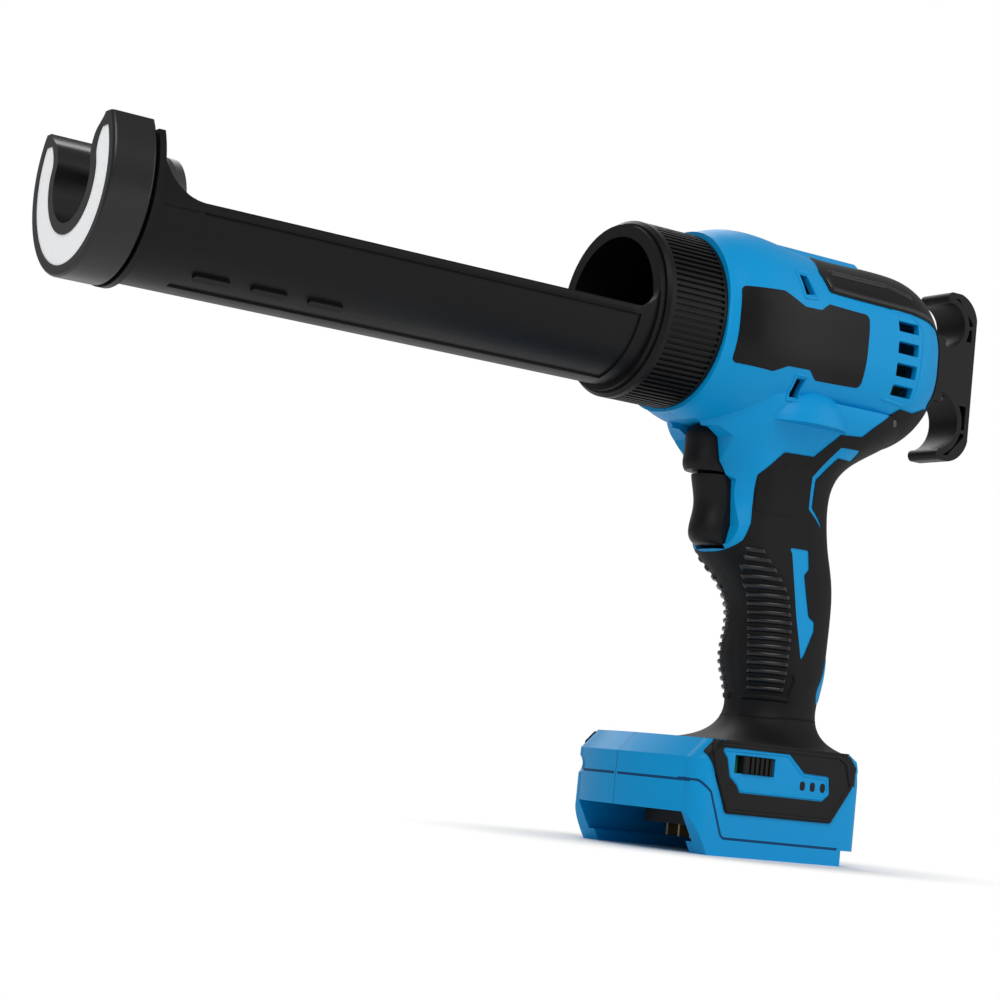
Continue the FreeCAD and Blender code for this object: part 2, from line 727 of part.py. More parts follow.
def trigger_opening():
    half = d("trigger_half_width") + 0.4
    return Part.makeBox(60, 2 * half, 44.8, V(d("switch_front") - 60, -half, 109.2))


def socket_cut():
    """Battery socket under the foot: open below and at the front, with a lip along each side."""
    wide, lip, shelf = d("socket_half_width"), d("rail_lip"), d("shelf_height")
    front, stop = d("base_front") - 5, d("foot_half_length") - 5
    upper = Part.makeBox(stop - front, 2 * wide, shelf - d("rail_height"), V(front, -wide, d("rail_height")))
    lower = Part.makeBox(stop - front, 2 * (wide - lip), shelf, V(front, lip - wide, -1))
    return upper.fuse(lower)


def cavity(inner_barrel, inner_grip):
    """The hollow inside both halves."""
    room = base_shape(-d("wall"))
    shelf = d("shelf_height") + d("wall")
    big = 400
    room = room.common(Part.makeBox(big, big, big, V(-big / 2, -big / 2, shelf)))
    return inner_barrel.fuse([inner_grip, room])


def bezel_shape(side):
    """Blue plate set in the panel on one side of the foot."""
    low, high = d("base_half_width") - 1.9, d("base_half_width") + 0.2
    return side_prism(rounded_wire(side_points(BASE_BEZEL), 1.0), side * low, side * high)


def slider_window():
    """Opening on the left side in which the slide switch moves."""
    front, rear, low, high = SLIDER_WINDOW
    return Part.makeBox(rear - front, 10, high - low, V(front, -d("base_half_width") - 4, low))


def lamp_shapes(grow):
    """Three oval lamps through the left side."""
    half_wide, half_high = 1.1 + grow, 1.6 + grow
    ovals = []
    for x in LAMPS_X:
        corners = [(x - half_wide, LAMPS_Z - half_high), (x + half_wide, LAMPS_Z - half_high),
                   (x + half_wide, LAMPS_Z + half_high), (x - half_wide, LAMPS_Z + half_high)]
        inside = d("base_half_width") - d("wall")
        ovals.append(side_prism(rounded_wire(side_points(corners), half_wide), -inside - 2.9, -inside))
    return ovals


def terminal_hole():
    """Where the terminal block passes through the shelf."""
    wide = d("terminal_half_width")
    return Part.makeBox(d("terminal_length"), 2 * wide, d("terminal_top") - d("terminal_low"),
                        V(d("terminal_front"), -wide, d("terminal_low")))


def boss_parts(side):
    """Screw bosses of one half, and the holes in them."""
    posts, holes = [], []
    for x, z in BOSSES:
        posts.append(Part.makeCylinder(4.4, 80, V(x, 0, z), V(0, side, 0)))
        if side > 0:
            holes.append(Part.makeCylinder(1.6, 12, V(x, 0, z), V(0, 1, 0)))
            holes.append(Part.makeCylinder(3.1, 80, V(x, 9, z), V(0, 1, 0)))
        else:
            holes.append(Part.makeCylinder(1.2 + d("running_fit"), 10, V(x, 0, z), V(0, -1, 0)))
    return Part.makeCompound(posts), Part.makeCompound(holes)


def housing():
    """Left and right halves with their overmoulded covers and side plates."""
    wall, depth, proud = d("wall"), d("skin_depth"), d("skin_proud")
    body = tool_shape(0.0)
    raised = tool_shape(proud)
    inner_barrel, inner_grip = barrel_shape(-wall), grip_shape(-wall, HOLLOW_SECTIONS)
    hollow = cavity(inner_barrel, inner_grip).cut(cheek_block())
    cheek_cut = side_prism(polygon(side_points(CHEEK_FRONT)), -60, 60)
    top = spine()
    whole = body.fuse([base_shape(0.0), top])
    skin = raised.cut(barrel_shape(-depth)).cut(grip_shape(-depth))
    rod_hole = axle(d("body_rear") - 12, d("guide_radius") + d("running_fit"), 20, 0, d("rod_z"))
    spigot_hole = axle(d("body_front") - 5, d("spigot_radius") + d("running_fit"), 12)
    rear_cover = skin.common(cover_prism(REAR_COVER, 1.5, -1).fuse(cover_prism(REAR_COVER, 1.5, 1)))
    rear_cover = rear_cover.cut(top).cut(rod_hole)
    feature("rear_cover", rear_cover)
    plate_skin = barrel_shape(0.15).cut(barrel_shape(-0.9))
    for side, name in ((-1, "left"), (1, "right")):
        cover = skin.common(cover_prism(GRIP_COVER, 1.2, side, (GRIP_SLASH, GRIP_LINE)))
        posts, post_holes = boss_parts(side)
        cover = cover.cut([trigger_opening(), post_holes, cheek_cut])
        plate = plate_skin.common(cover_prism(SIDE_PLATE, 2.0, side))
        panel_low, panel_high = d("base_half_width") - 1.4, d("base_half_width") + 0.5
        panel = side_prism(rounded_wire(side_points(BASE_PANEL), 1.5), side * panel_low, side * panel_high)
        bezel_wire = rounded_wire(side_points(BASE_BEZEL), 1.0)
        panel = panel.cut(side_prism(bezel_wire, side * panel_low, side * panel_high))
        panel = panel.common(base_shape(0.5))
        big = 500
        half_space = Part.makeBox(big, big, big, V(-big / 2, -big if side < 0 else 0, -big / 2))
        shell = whole.fuse(gear_bulge(side)).common(half_space)
        shell = shell.cut(hollow)
        pad_low = d("switch_half_width") if side > 0 else -d("switch_half_width") - 30
        pad = Part.makeBox(8, 30, 30, V(0, pad_low, 115))
        shell = shell.fuse([posts.common(hollow), pad.common(hollow)])
        bezel = bezel_shape(side)
        openings = [trigger_opening(), cheek_cut, socket_cut(), terminal_hole()]
        openings += [rod_hole, spigot_hole, post_holes]
        openings += [cover, rear_cover, plate, panel, bezel, slider_window()] + lamp_shapes(d("running_fit"))
        for outline in WINDOWS:
            openings.append(cover_prism(outline, 0.4, side))
        for low, high in VENT_ROWS:
            slot = [(VENT_FRONT, low), (VENT_REAR, low), (VENT_REAR, high), (VENT_FRONT, high)]
            openings.append(cover_prism(slot, 0.5, side).cut(axle(0, 20, 100)))
        shell = shell.cut(openings)
        solids = sorted(shell.Solids, key=lambda s: s.Volume)
        feature(f"housing_{name}", solids[-1])
        feature(f"grip_cover_{name}", sorted(cover.Solids, key=lambda s: s.Volume)[-1])
        feature(f"side_plate_{name}", plate)
        feature(f"base_panel_{name}", panel)
        if side < 0:
            bezel = bezel.cut([slider_window()] + lamp_shapes(d("running_fit")))
        feature(f"bezel_{name}", bezel)


# Toothed shapes

PRESSURE_ANGLE = math.radians(20)
TIP_SHARE, ROOT_SHARE = 0.8, 1.2
GEAR_PLAY, WORM_PLAY = 0.1, 0.5


def half_tooth(radius, teeth, module, play):
    """Half the angle of an involute tooth at one radius."""
    pitch = teeth * module / 2
    base = pitch * math.cos(PRESSURE_ANGLE)

    def rolled(angle):
        return math.tan(angle) - angle

    lean = math.acos(base / max(radius, base))
    return math.pi / (2 * teeth) + rolled(PRESSURE_ANGLE) - rolled(lean) - play / (2 * pitch)


def toothed_face(teeth, module, play, turn=0.0, tip=TIP_SHARE, root=ROOT_SHARE):
    """A gear outline in the XY plane, its first tooth along X unless turned."""
    pitch = teeth * module / 2
    rise = [pitch - root * module, pitch, pitch + tip * module]
    points = []
    for k in range(int(teeth)):
        centre = math.radians(turn) + 2 * math.pi * k / teeth
        for side, radii in ((-1, rise), (1, rise[::-1])):
            for radius in radii:
                angle = centre + side * half_tooth(radius, teeth, module, play)
                points.append(V(radius * math.cos(angle), radius * math.sin(angle), 0))
    return Part.Face(polygon(points))


def upright_gear(face, bore, low, width):
    """A toothed face made a gear on the upright shaft."""
    solid = face.extrude(V(0, 0, width)).cut(Part.makeCylinder(bore, width))
    solid.translate(V(d("pinion_x"), d("pinion_y"), low))
    return solid


def motor_line(solid, front, step=V(0, 0, 0)):
    """Lay a solid built about Z along the motor's line, off it by a step across."""
    solid.translate(step)
    lie = FreeCAD.Placement(V(front, d("worm_y"), d("motor_z")), AXIS_TURN["x"])
    solid.Placement = lie * solid.Placement
    return solid


# Gear case, guides and rod


def on_axis(radius, start, stop, grow="0"):
    """A cylinder on the barrel line between two places."""
    return rod_of("x", f"{radius} + {grow}", f"{stop} - ({start})", (start, "0", "axis_height"))


def on_rod(radius, start, stop):
    """A cylinder on the rod's line between two places."""
    return rod_of("x", radius, f"{stop} - ({start})", (start, "0", "rod_z"))


def on_motor(radius, start, stop):
    """A cylinder on the motor's line between two places."""
    return rod_of("x", radius, f"{stop} - ({start})", (start, "worm_y", "motor_z"))


def on_shaft(radius, low, high):
    """A cylinder on the upright shaft's line, its ends given from the barrel line."""
    return rod_of("z", radius, f"{high} - ({low})", ("pinion_x", "pinion_y", f"axis_height + {low}"))


def rod_room(start, stop, gap):
    """The square way that the rod runs in."""
    return block((f"{stop} - ({start})", f"rod_width + 2 * {gap}", f"rod_height + 2 * {gap}"),
                 (start, f"-rod_width / 2 - {gap}", f"rod_z - rod_height / 2 - {gap}"))


def shared(*parts):
    """What several solids have in common."""
    obj = doc.addObject("Part::MultiCommon", "shared")
    obj.Shapes = list(parts)
    return obj


def gear_case():
    """Cast case behind the collar: the spigot in front, the gear room behind a bulkhead."""
    outside = joined(on_axis("spigot_radius", "spigot_front", "case_front + 1"),
                     on_axis("case_radius", "case_front", "case_rear"))
    room = shared(on_axis("case_radius - 1.4", "room_front", "room_rear"),
                  block(("room_rear - room_front", "pinion_y + 19", "29.9"),
                        ("room_front", "-7", "axis_height - 9")))
    case = without(
        outside,
        on_axis("spigot_bore", "spigot_front - 1", "bulkhead_front"),
        room,
        on_motor("5.3", "room_front", "room_rear"),
        rod_room("bulkhead_front - 1", "case_rear + 1", "0.5"),
        on_rod("front_guide_radius + running_fit", "bulkhead_front - 1", "room_front + 0.5"),
        on_motor("worm_shaft_radius + running_fit", "room_front - 2.9", "room_front + 0.5"),
        on_motor("hub_radius + running_fit", "room_rear - 0.5", "case_rear + 1"),
        on_shaft("bearing_radius + running_fit", "bearing_low", "-8.5"),
        on_shaft("bearing_radius + running_fit", "20", "bearing_high + 2.1"),
    )
    keep(case, "gear_case")
    keep(without(on_rod("front_guide_radius", "bulkhead_front", "room_front"),
                 rod_room("bulkhead_front - 1", "room_front + 1", "running_fit")), "front_guide")
    keep(without(on_rod("guide_radius", "body_rear - 6.5", "body_rear + 1.5"),
                 rod_room("body_rear - 8", "body_rear + 2", "running_fit")), "rear_guide")
    low = without(on_shaft("bearing_radius", "bearing_low", "-9.3"),
                  on_shaft("shaft_radius + running_fit", "bearing_low - 1", "-8"))
    high = without(on_shaft("bearing_radius", "bearing_high", "bearing_high + 2.1"),
                   on_shaft("shaft_radius + running_fit", "bearing_high - 1", "bearing_high + 3"))
    keep(group_of(low, high), "shaft_bearings")


def push_rod():
    """Square rod with a rack along its right side, a piston in front and a screw hole at each end."""
    module, line = d("rack_module"), d("rack_line")
    pitch = math.pi * module
    side = d("rod_width") / 2
    slope = math.tan(PRESSURE_ANGLE)
    half_root = pitch / 4 + ROOT_SHARE * module * slope - GEAR_PLAY / 2
    half_tip = pitch / 4 - TIP_SHARE * module * slope - GEAR_PLAY / 2
    floor = line - ROOT_SHARE * module
    spare = 3
    teeth = range(spare, -int(d("rod_travel") / pitch) - spare - 1, -1)
    first, last = d("pinion_x") + pitch * (teeth[0] + 0.5), d("pinion_x") + pitch * (teeth[-1] - 0.5)
    points = [V(d("rod_front"), -side, 0), V(d("rod_rear"), -side, 0), V(d("rod_rear"), side, 0),
              V(first, side, 0), V(first, floor, 0)]
    for k in teeth:
        x = d("pinion_x") + pitch * k
        points += [V(x + half_root, floor, 0), V(x + half_tip, side, 0), V(x - half_tip, side, 0),
                   V(x - half_root, floor, 0)]
    points += [V(last, floor, 0), V(last, side, 0), V(d("rod_front"), side, 0)]
    bar = Part.Face(polygon(points)).extrude(V(0, 0, d("rod_height")))
    bar.translate(V(0, 0, d("rod_z") - d("rod_height") / 2))
    hole = d("screw_radius") + d("running_fit")
    bar = bar.cut([axle(x, hole, 13, 0, d("rod_z")) for x in (d("rod_front"), d("rod_rear") - 13)])
    feature("push_rod", bar)
    keep(turned("piston_plate", [
        ("piston_front", "screw_radius + running_fit"),
        ("piston_front", "piston_radius - 1"),
        ("piston_front + 1", "piston_radius"),
        ("rod_front", "piston_radius"),
        ("rod_front", "screw_radius + running_fit"),
    ], "rod_z"), "piston_plate")
    keep(joined(on_rod("screw_head", "piston_front - 2.4", "piston_front"),
                on_rod("screw_radius", "piston_front - 1", "rod_front + 12")), "piston_screw")


def pull_handle():
    """Two hooked wings on a boss, hollowed from both sides down to a middle web."""
    front, rear, tall = d("grab_front"), d("grab_rear"), d("grab_half_height")
    half, web, rim = d("grab_half_width"), d("grab_web"), d("grab_rim")
    z = d("rod_z")

    middle = z + d("grab_rise")

    def at(x, up):
        return V(x, 0, middle + up)

    def finger_arc(up, boss):
        """The round hollow for the fingers, from the boss out to the hook."""
        return Part.Arc(at(front + 6.5, (boss - 3.8) * up), at(front + 15.6, (boss + tall - 8.2) / 2 * up),
                        at(front + 8.5, (tall - 4.4) * up))

    def wing(up, boss):
        """One wing from the boss to the rear edge, upward or downward."""
        arc = finger_arc(up, boss)
        plate, crest = at(front + 6, boss * up), at(front + 8.3, tall * up)
        back, edge = at(rear - 9, tall * up), at(rear, (tall - 9) * up)
        return [
            Part.makeLine(at(front, boss * up), plate),
            Part.makeLine(plate, at(front + 6.5, (boss - 3.8) * up)),
            arc.toShape(),
            Part.Arc(at(front + 8.5, (tall - 4.4) * up), at(front + 5.9, (tall - 2.3) * up), crest).toShape(),
            Part.makeLine(crest, back),
            Part.Arc(back, at(rear - 3.2, (tall - 3.2) * up), edge).toShape(),
        ]

    def pocket(up, boss, side):
        """The hollow between a wing's hook and its rear rim, with one rib left across it."""
        bow = finger_arc(up, boss).toShape().Curve
        inside = front + 9.5
        corners = [at(inside, boss * up), at(rear - rim, boss * up), at(rear - rim, (tall - 10.5) * up),
                   at(rear - 10, (tall - rim) * up), at(inside, (tall - rim) * up)]
        room = side_prism(polygon(corners), side * web / 2, side * (half + 1))
        rib = Part.makeBox(60, 60, 1.4, at(front, 20.5 * up - 0.7) - V(0, 30, 0))
        return room.cut([Part.makeCylinder(bow.Radius + rim, 60, bow.Center - V(0, 30, 0), V(0, 1, 0)), rib])

    high_boss, low_boss = d("boss_up"), d("boss_down")
    ends = [Part.makeLine(at(front, -low_boss), at(front, high_boss)),
            Part.makeLine(at(rear, tall - 9), at(rear, 9 - tall))]
    outline = Part.Wire(Part.__sortEdges__(wing(1, high_boss) + wing(-1, low_boss) + ends))
    solid = side_prism(outline, -half, half)
    for side in (-1, 1):
        solid = solid.cut([pocket(1, high_boss, side), pocket(-1, low_boss, side)])
    gap = d("running_fit")
    wide, high = d("rod_width") + 2 * gap, d("rod_height") + 2 * gap
    way = Part.makeBox(d("rod_rear") - front + 1, wide, high, V(front - 1, -wide / 2, z - high / 2))
    sink = 3
    solid = solid.cut([way, axle(d("rod_rear") - 1, d("screw_radius") + gap, 20, 0, z),
                       axle(rear - sink, d("screw_head") + gap, 20, 0, z)])
    feature("pull_handle", solid)
    keep(joined(on_rod("screw_head", f"grab_rear - {sink}", "grab_rear - 0.4"),
                on_rod("screw_radius", "rod_rear - 12", f"grab_rear - {sink} + 0.5")), "handle_screw")


# Motor, planet stage, worm and clutch


def drive_line():
    bore = d("shaft_radius") + d("running_fit")
    feature("drive_pinion", upright_gear(
        toothed_face(d("pinion_teeth"), d("rack_module"), GEAR_PLAY, 180 / d("pinion_teeth") - 90), bore,
        d("rod_z") - d("rod_height") / 2, d("rod_height")))
    feature("worm_wheel", upright_gear(
        toothed_face(d("wheel_teeth"), d("worm_module"), WORM_PLAY, 180 / d("wheel_teeth") - 90), bore,
        d("motor_z") - d("wheel_width") / 2, d("wheel_width")))
    keep(on_shaft("shaft_radius", "bearing_low + 0.2", "bearing_high + 2"), "pinion_shaft")
    keep(without(on_shaft("sleeve_radius", "sleeve_low", "motor_rise - wheel_width / 2 - fit"),
                 on_shaft("shaft_radius + running_fit", "sleeve_low - 1", "motor_rise")), "clutch_sleeve")
    # Worm: one right-handed thread that faces a gap of the wheel at pinion_x
    lead = math.pi * d("worm_module")
    core, tip = d("worm_pitch_radius") - 1.3, d("worm_pitch_radius") + 0.75
    slope = math.tan(PRESSURE_ANGLE)
    middle = lead / 4 - WORM_PLAY / 2
    low, high = middle + 1.4 * slope, middle - 0.75 * slope
    root = core - 0.1
    turns = 6
    profile = polygon([V(root, 0, -low), V(tip, 0, -high), V(tip, 0, high), V(root, 0, low)])
    helix = Part.makeHelix(lead, turns * lead, core)
    thread = Part.Wire(helix.Edges).makePipeShell([profile], True, True)
    start = d("pinion_x") - 3.25 * lead
    thread = motor_line(thread, start)
    y, z = d("worm_y"), d("motor_z")
    front, rear = d("room_front") - 2.6, d("case_rear") + 3
    shaft = axle(front, d("worm_shaft_radius"), rear - front, y, z)
    core_bar = axle(start - 1, core, (turns * lead) + 2, y, z)
    feature("worm_screw", shaft.fuse([core_bar, thread]))
    # Planet stage: carrier, three planets, sun and fixed ring
    disc = [on_motor("hub_radius", "room_rear + 0.1", "case_rear + 1"),
            on_motor("carrier_radius", "case_rear + 0.6", "case_rear + 3.6")]
    module, orbit = d("planet_module"), d("planet_orbit")
    planet = toothed_face(d("planet_teeth"), module, GEAR_PLAY)
    pin_hole = d("pin_radius") + d("running_fit")
    for index, angle in enumerate((90, 210, 330), start=1):
        gear = planet.copy()
        gear.rotate(V(0, 0, 0), V(0, 0, 1), angle + 180 + 180 / d("planet_teeth"))
        gear = gear.extrude(V(0, 0, 7)).cut(Part.makeCylinder(pin_hole, 7))
        across = V(orbit * math.cos(math.radians(angle)), orbit * math.sin(math.radians(angle)), 0)
        feature(f"planet_gear_{index}", motor_line(gear, d("case_rear") + 4, across))
        turn = f"planet_orbit * sin({angle})", f"planet_orbit * cos({angle})"
        pin_foot = ("case_rear + 3", f"worm_y + {turn[0]}", f"motor_z - {turn[1]}")
        disc.append(rod_of("x", "pin_radius", "10", pin_foot))
    hole = on_motor("worm_shaft_radius + running_fit", "room_rear - 1", "case_rear + 3.1")
    keep(without(joined(*disc), hole), "planet_carrier")
    sun = toothed_face(d("sun_teeth"), module, GEAR_PLAY).extrude(V(0, 0, 7.5))
    sun = sun.cut(Part.makeCylinder(d("motor_shaft_radius") + d("running_fit"), 7.5))
    feature("sun_gear", motor_line(sun, d("case_rear") + 4.2))
    length = d("gear_stage_length")
    space = toothed_face(d("ring_teeth"), module, -GEAR_PLAY, 180 / d("ring_teeth"), ROOT_SHARE, TIP_SHARE)
    ring = Part.makeCylinder(d("motor_radius"), length).cut(space.extrude(V(0, 0, length)))
    feature("ring_gear", motor_line(ring, d("case_rear")))


def motor():
    plate = "3"
    can = without(on_motor("motor_radius", "motor_front", "motor_rear"),
                  on_motor("motor_radius - 1.5", f"motor_front + {plate}", f"motor_rear - {plate}"),
                  on_motor("bush_radius + running_fit", "motor_front - 1", "motor_rear + 1"))
    keep(can, "motor_can")
    bushes = [without(on_motor("bush_radius", start, f"{start} + {plate}"),
                      on_motor("motor_shaft_radius + running_fit", f"{start} - 1", f"{start} + 5"))
              for start in ("motor_front", f"motor_rear - {plate}")]
    keep(group_of(*bushes), "motor_bushes")
    keep(joined(on_motor("motor_shaft_radius", "case_rear + 4.2", "motor_rear + 8"),
                on_motor("motor_radius - 2", "motor_front + 6", "motor_front + 30"),
                on_motor("5", "motor_front + 29", "motor_rear - 4")), "motor_rotor")
    blades = [on_motor("3.4", "motor_rear + 1", "motor_rear + 7"),
              on_motor("11.4", "motor_rear + 1", "motor_rear + 2.2")]
    count = 9
    for k in range(count):
        blade = doc.addObject("Part::Box", "blade")
        blade.Length, blade.Width, blade.Height = 5.5, 1, 8.4
        turn = FreeCAD.Rotation(V(1, 0, 0), 360 * k / count)
        offset = turn.multVec(V(0, -0.5, 3))
        blade.Placement.Rotation = turn
        place(blade, ("motor_rear + 1.5", f"worm_y + {offset.y}", f"motor_z + {offset.z}"))
        blades.append(blade)
    fan_bore = on_motor("motor_shaft_radius + running_fit", "motor_rear", "motor_rear + 9")
    keep(without(joined(*blades), fan_bore), "motor_fan")


# Triggers, switch and springs

# Finger pieces as (height, front) rows from the lower end up
TRIGGER = [(110.4, -17.4), (112.0, -20.2), (116.2, -21.4), (125.5, -20.2), (131.5, -21.4), (135.8, -22.4)]
RELEASE = [(136.8, -25.6), (139.0, -26.8), (146.0, -26.6), (151.4, -26.2), (152.9, -25.0)]


def button(rows, rear, pocket_front, pocket_radius, z, stem_rear):
    """A finger piece with a round front, a spring pocket behind and a stem out of it."""
    half = d("trigger_half_width")
    sections = []
    for height, front in rows:
        turn = front + 0.85 * half
        near, far, tip = V(turn, -half, height), V(turn, half, height), V(front, 0, height)
        sections.append(Part.Wire([
            Part.makeLine(V(rear, half, height), far), Part.Arc(far, tip, near).toShape(),
            Part.makeLine(near, V(rear, -half, height)),
            Part.makeLine(V(rear, -half, height), V(rear, half, height)),
        ]))
    solid = Part.makeLoft(sections, True, False)
    solid = solid.cut(axle(pocket_front, pocket_radius, 30, 0, z))
    return solid.fuse(axle(pocket_front - 0.5, d("stem_radius"), stem_rear - pocket_front + 0.5, 0, z))


def coil(label, start, stop, radius, wire, turns, z):
    """A helical spring lying along X."""
    pitch = (stop - start - 2 * wire) / turns
    helix = Part.makeHelix(pitch, pitch * turns, radius)
    ring = Part.Wire(Part.makeCircle(wire, V(radius, 0, 0), V(0, 1, 0)))
    solid = Part.Wire(helix.Edges).makePipeShell([ring], True, True)
    solid.Placement = FreeCAD.Placement(V(start + wire, 0, z), AXIS_TURN["x"])
    feature(label, solid)


def triggers():
    low_z, high_z = d("trigger_stem_z"), d("release_stem_z")
    seat = d("switch_front")
    feature("trigger", button(TRIGGER, -9, -15, 5.2, low_z, 2))
    feature("release_trigger", button(RELEASE, -14, -20, 5.2, high_z, 1))
    coil("trigger_spring", -15, seat, 4, 0.35, 6, low_z)
    coil("release_spring", -20, seat, 4, 0.35, 8, high_z)
    keep(without(block(("switch_length", "2 * switch_half_width", "switch_high - switch_low"),
                       ("switch_front", "-switch_half_width", "switch_low")),
                 rod_of("x", "stem_radius + running_fit", "12", ("switch_front - 1", "0", "trigger_stem_z")),
                 rod_of("x", "stem_radius + running_fit", "9", ("switch_front - 1", "0", "release_stem_z"))),
         "switch_body")
    board_top = "terminal_top + circuit_thickness"
    lead_long = f"switch_low - ({board_top})"
    keep(group_of(*[rod_of("z", "lead_radius", lead_long, ("14", y, board_top)) for y in ("-4", "4")]),
         "battery_leads")


# Foot: terminals, boards, slide switch and lamps


def foot():
    keep(block(("terminal_length", "2 * terminal_half_width", "terminal_top - terminal_low"),
               ("terminal_front", "-terminal_half_width", "terminal_low")), "terminal_block")
    blades = [block(("18", "0.8", "blade_drop"), ("-12", f"{y} - 0.4", "terminal_low - blade_drop"))
              for y in ("-10.5", "-3.5", "3.5", "10.5")]
    keep(group_of(*blades), "terminal_blades")
    keep(block(("44", "44", "circuit_thickness"), ("-24", "-22", "terminal_top")), "circuit_board")
    board_corner = ("-22", "wall - base_half_width", "23.5")
    keep(block(("44", "circuit_thickness", "13.5"), board_corner), "indicator_board")
    feature("indicator_lights", Part.makeCompound(lamp_shapes(0.0)))
    front, rear = SLIDER_KNOB
    low, high = SLIDER_WINDOW[2] + d("running_fit"), SLIDER_WINDOW[3] - d("running_fit")
    face = -d("base_half_width") - 1.2
    back = d("wall") - d("base_half_width") - 0.1
    knob = Part.makeBox(rear - front, back - face, high - low, V(front, face, low))
    knob = knob.makeChamfer(0.4, [e for e in knob.Edges if abs(e.CenterOfMass.y - face) < 1e-6])
    grooves = [Part.makeBox(0.9, 0.8, 2 * (high - low), V(front + 2.4 + 2.1 * k, face, low - 2))
               for k in range(5)]
    feature("slide_switch", knob.cut(grooves))


def fasteners():
    """Screws that close the two halves from the right."""
    screws = []
    for x, z in BOSSES:
        shank = Part.makeCylinder(1.2, 18.5, V(x, -9.5, z), V(0, 1, 0))
        head = Part.makeCylinder(2.8, 2.5, V(x, 9, z), V(0, 1, 0))
        screws.append(shank.fuse(head))
    feature("housing_screws", Part.makeCompound(screws))


cradle(nose())
collar()
housing()
gear_case()
push_rod()
pull_handle()
drive_line()
motor()
triggers()
foot()
fasteners()

doc.recompute()
failed = [o.Label for o in doc.Objects if "Invalid" in o.State or "Error" in o.State]
broken = [label for label, o in nodes.items() if o.Shape.isNull() or not o.Shape.isValid()]
if failed or broken:
    raise RuntimeError(f"failed objects {failed}, broken shapes {broken}")

os.makedirs("parts", exist_ok=True)
for label, obj in nodes.items():
    obj.Shape.exportStep(f"parts/{label}.step")
    print(label, len(obj.Shape.Solids), round(obj.Shape.Volume))
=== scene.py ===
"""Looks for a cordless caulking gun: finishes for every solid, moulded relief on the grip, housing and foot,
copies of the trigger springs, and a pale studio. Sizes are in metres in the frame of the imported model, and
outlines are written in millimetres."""

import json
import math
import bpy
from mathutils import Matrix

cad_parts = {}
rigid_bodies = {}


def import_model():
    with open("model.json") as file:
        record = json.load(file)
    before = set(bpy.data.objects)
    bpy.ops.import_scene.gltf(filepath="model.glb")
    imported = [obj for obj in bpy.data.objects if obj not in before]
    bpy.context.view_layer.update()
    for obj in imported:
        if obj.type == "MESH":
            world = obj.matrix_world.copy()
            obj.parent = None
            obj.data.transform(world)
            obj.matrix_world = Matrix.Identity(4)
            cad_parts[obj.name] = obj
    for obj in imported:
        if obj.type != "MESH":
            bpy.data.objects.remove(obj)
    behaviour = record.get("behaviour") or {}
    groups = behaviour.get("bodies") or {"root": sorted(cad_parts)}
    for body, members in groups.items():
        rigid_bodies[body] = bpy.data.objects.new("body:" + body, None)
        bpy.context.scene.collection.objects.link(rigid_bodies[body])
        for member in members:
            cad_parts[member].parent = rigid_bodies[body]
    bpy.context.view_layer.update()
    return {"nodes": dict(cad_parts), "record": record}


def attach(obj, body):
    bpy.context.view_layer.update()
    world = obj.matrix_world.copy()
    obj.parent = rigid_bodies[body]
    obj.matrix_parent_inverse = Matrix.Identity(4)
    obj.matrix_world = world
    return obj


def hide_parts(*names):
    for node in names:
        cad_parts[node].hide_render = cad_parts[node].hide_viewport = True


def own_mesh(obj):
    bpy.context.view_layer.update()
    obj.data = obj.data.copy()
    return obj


bl_info = {
    "name": "Caulking gun looks",
    "version": (1, 0, 0),
    "blender": (4, 5, 0),
    "location": "3D View > Sidebar > Caulking gun",
    "description": "Finishes, moulded relief and studio for a cordless caulking gun",
    "category": "Object",
}

import bpy
import numpy as np
from mathutils import Matrix, Vector

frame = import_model()
MM = 0.001
SIDES = (("left", -1), ("right", 1))

# Points are shot at the tool from this far out to the side, and from twice as far in front of it
SHOT = 0.15
# The rim of a raised form lies this far under the skin, and its underside this far
RIM_SINK = 0.06 * MM
ROOT = 0.5 * MM
# Places across a bead, from edge to edge, with the bead's share of its full height at each
ACROSS = np.linspace(-1.0, 1.0, 7)
PROFILE = 1.0 - ACROSS ** 4
# Edges of relief that bend by more than this stay sharp
SHARP = math.radians(50)
UP = np.array([0.0, 0.0, 1.0])

# Handle sections from foot to barrel: height, front, rear, half width
SECTIONS = np.array([
    (44.5, 0.5, 39.6, 20.8), (50.5, 5.2, 37.8, 17.0), (61.0, 5.4, 38.4, 17.0), (79.0, 3.0, 40.0, 17.5),
    (96.0, 0.0, 40.3, 17.0), (104.0, -8.0, 39.2, 17.0), (110.0, -14.5, 37.6, 17.0),
    (128.0, -14.5, 34.2, 17.8),
])
# The sections are rounded boxes: ellipses with this power in place of two
SECTION_POWER = 2.6
# How far outside the handle a bead starts before it is laid on, in millimetres
CLEAR = 2.5
# Ribs are shot from the front corner, turned this far from straight sideways
CORNER_TURN = math.pi / 4
# Ends of the grip ribs, as angles from the front, against the share of the way down the grip
RIB_INSET = (0.0, 0.06, 0.13, 0.25, 1.0), (0.85, 0.72, 0.46, 0.28, 0.24)
RIB_REACH = (0.0, 0.18, 0.5, 0.85, 1.0), (1.22, 1.28, 1.36, 1.30, 1.22)
# The heel's serrations: heights, angles from the rear at which they start and end, and half width; their
# height is a share of a rib's
HEEL_ROWS = np.arange(60.0, 108.0, 2.1) * MM
HEEL_ARC = 0.06, 0.5
HEEL_HALF = 0.75 * MM
HEEL_SHARE = 0.4
# Round the neck: the bar below the ribs, from angle to angle, and the seam, which stops short of the middle
BAR_LEVEL = 57.2 * MM
BAR_ARC = math.pi - 0.1, math.pi - 1.4
NECK_LEVEL = 51.5 * MM
NECK_ARC = math.pi - 0.06, 0.06

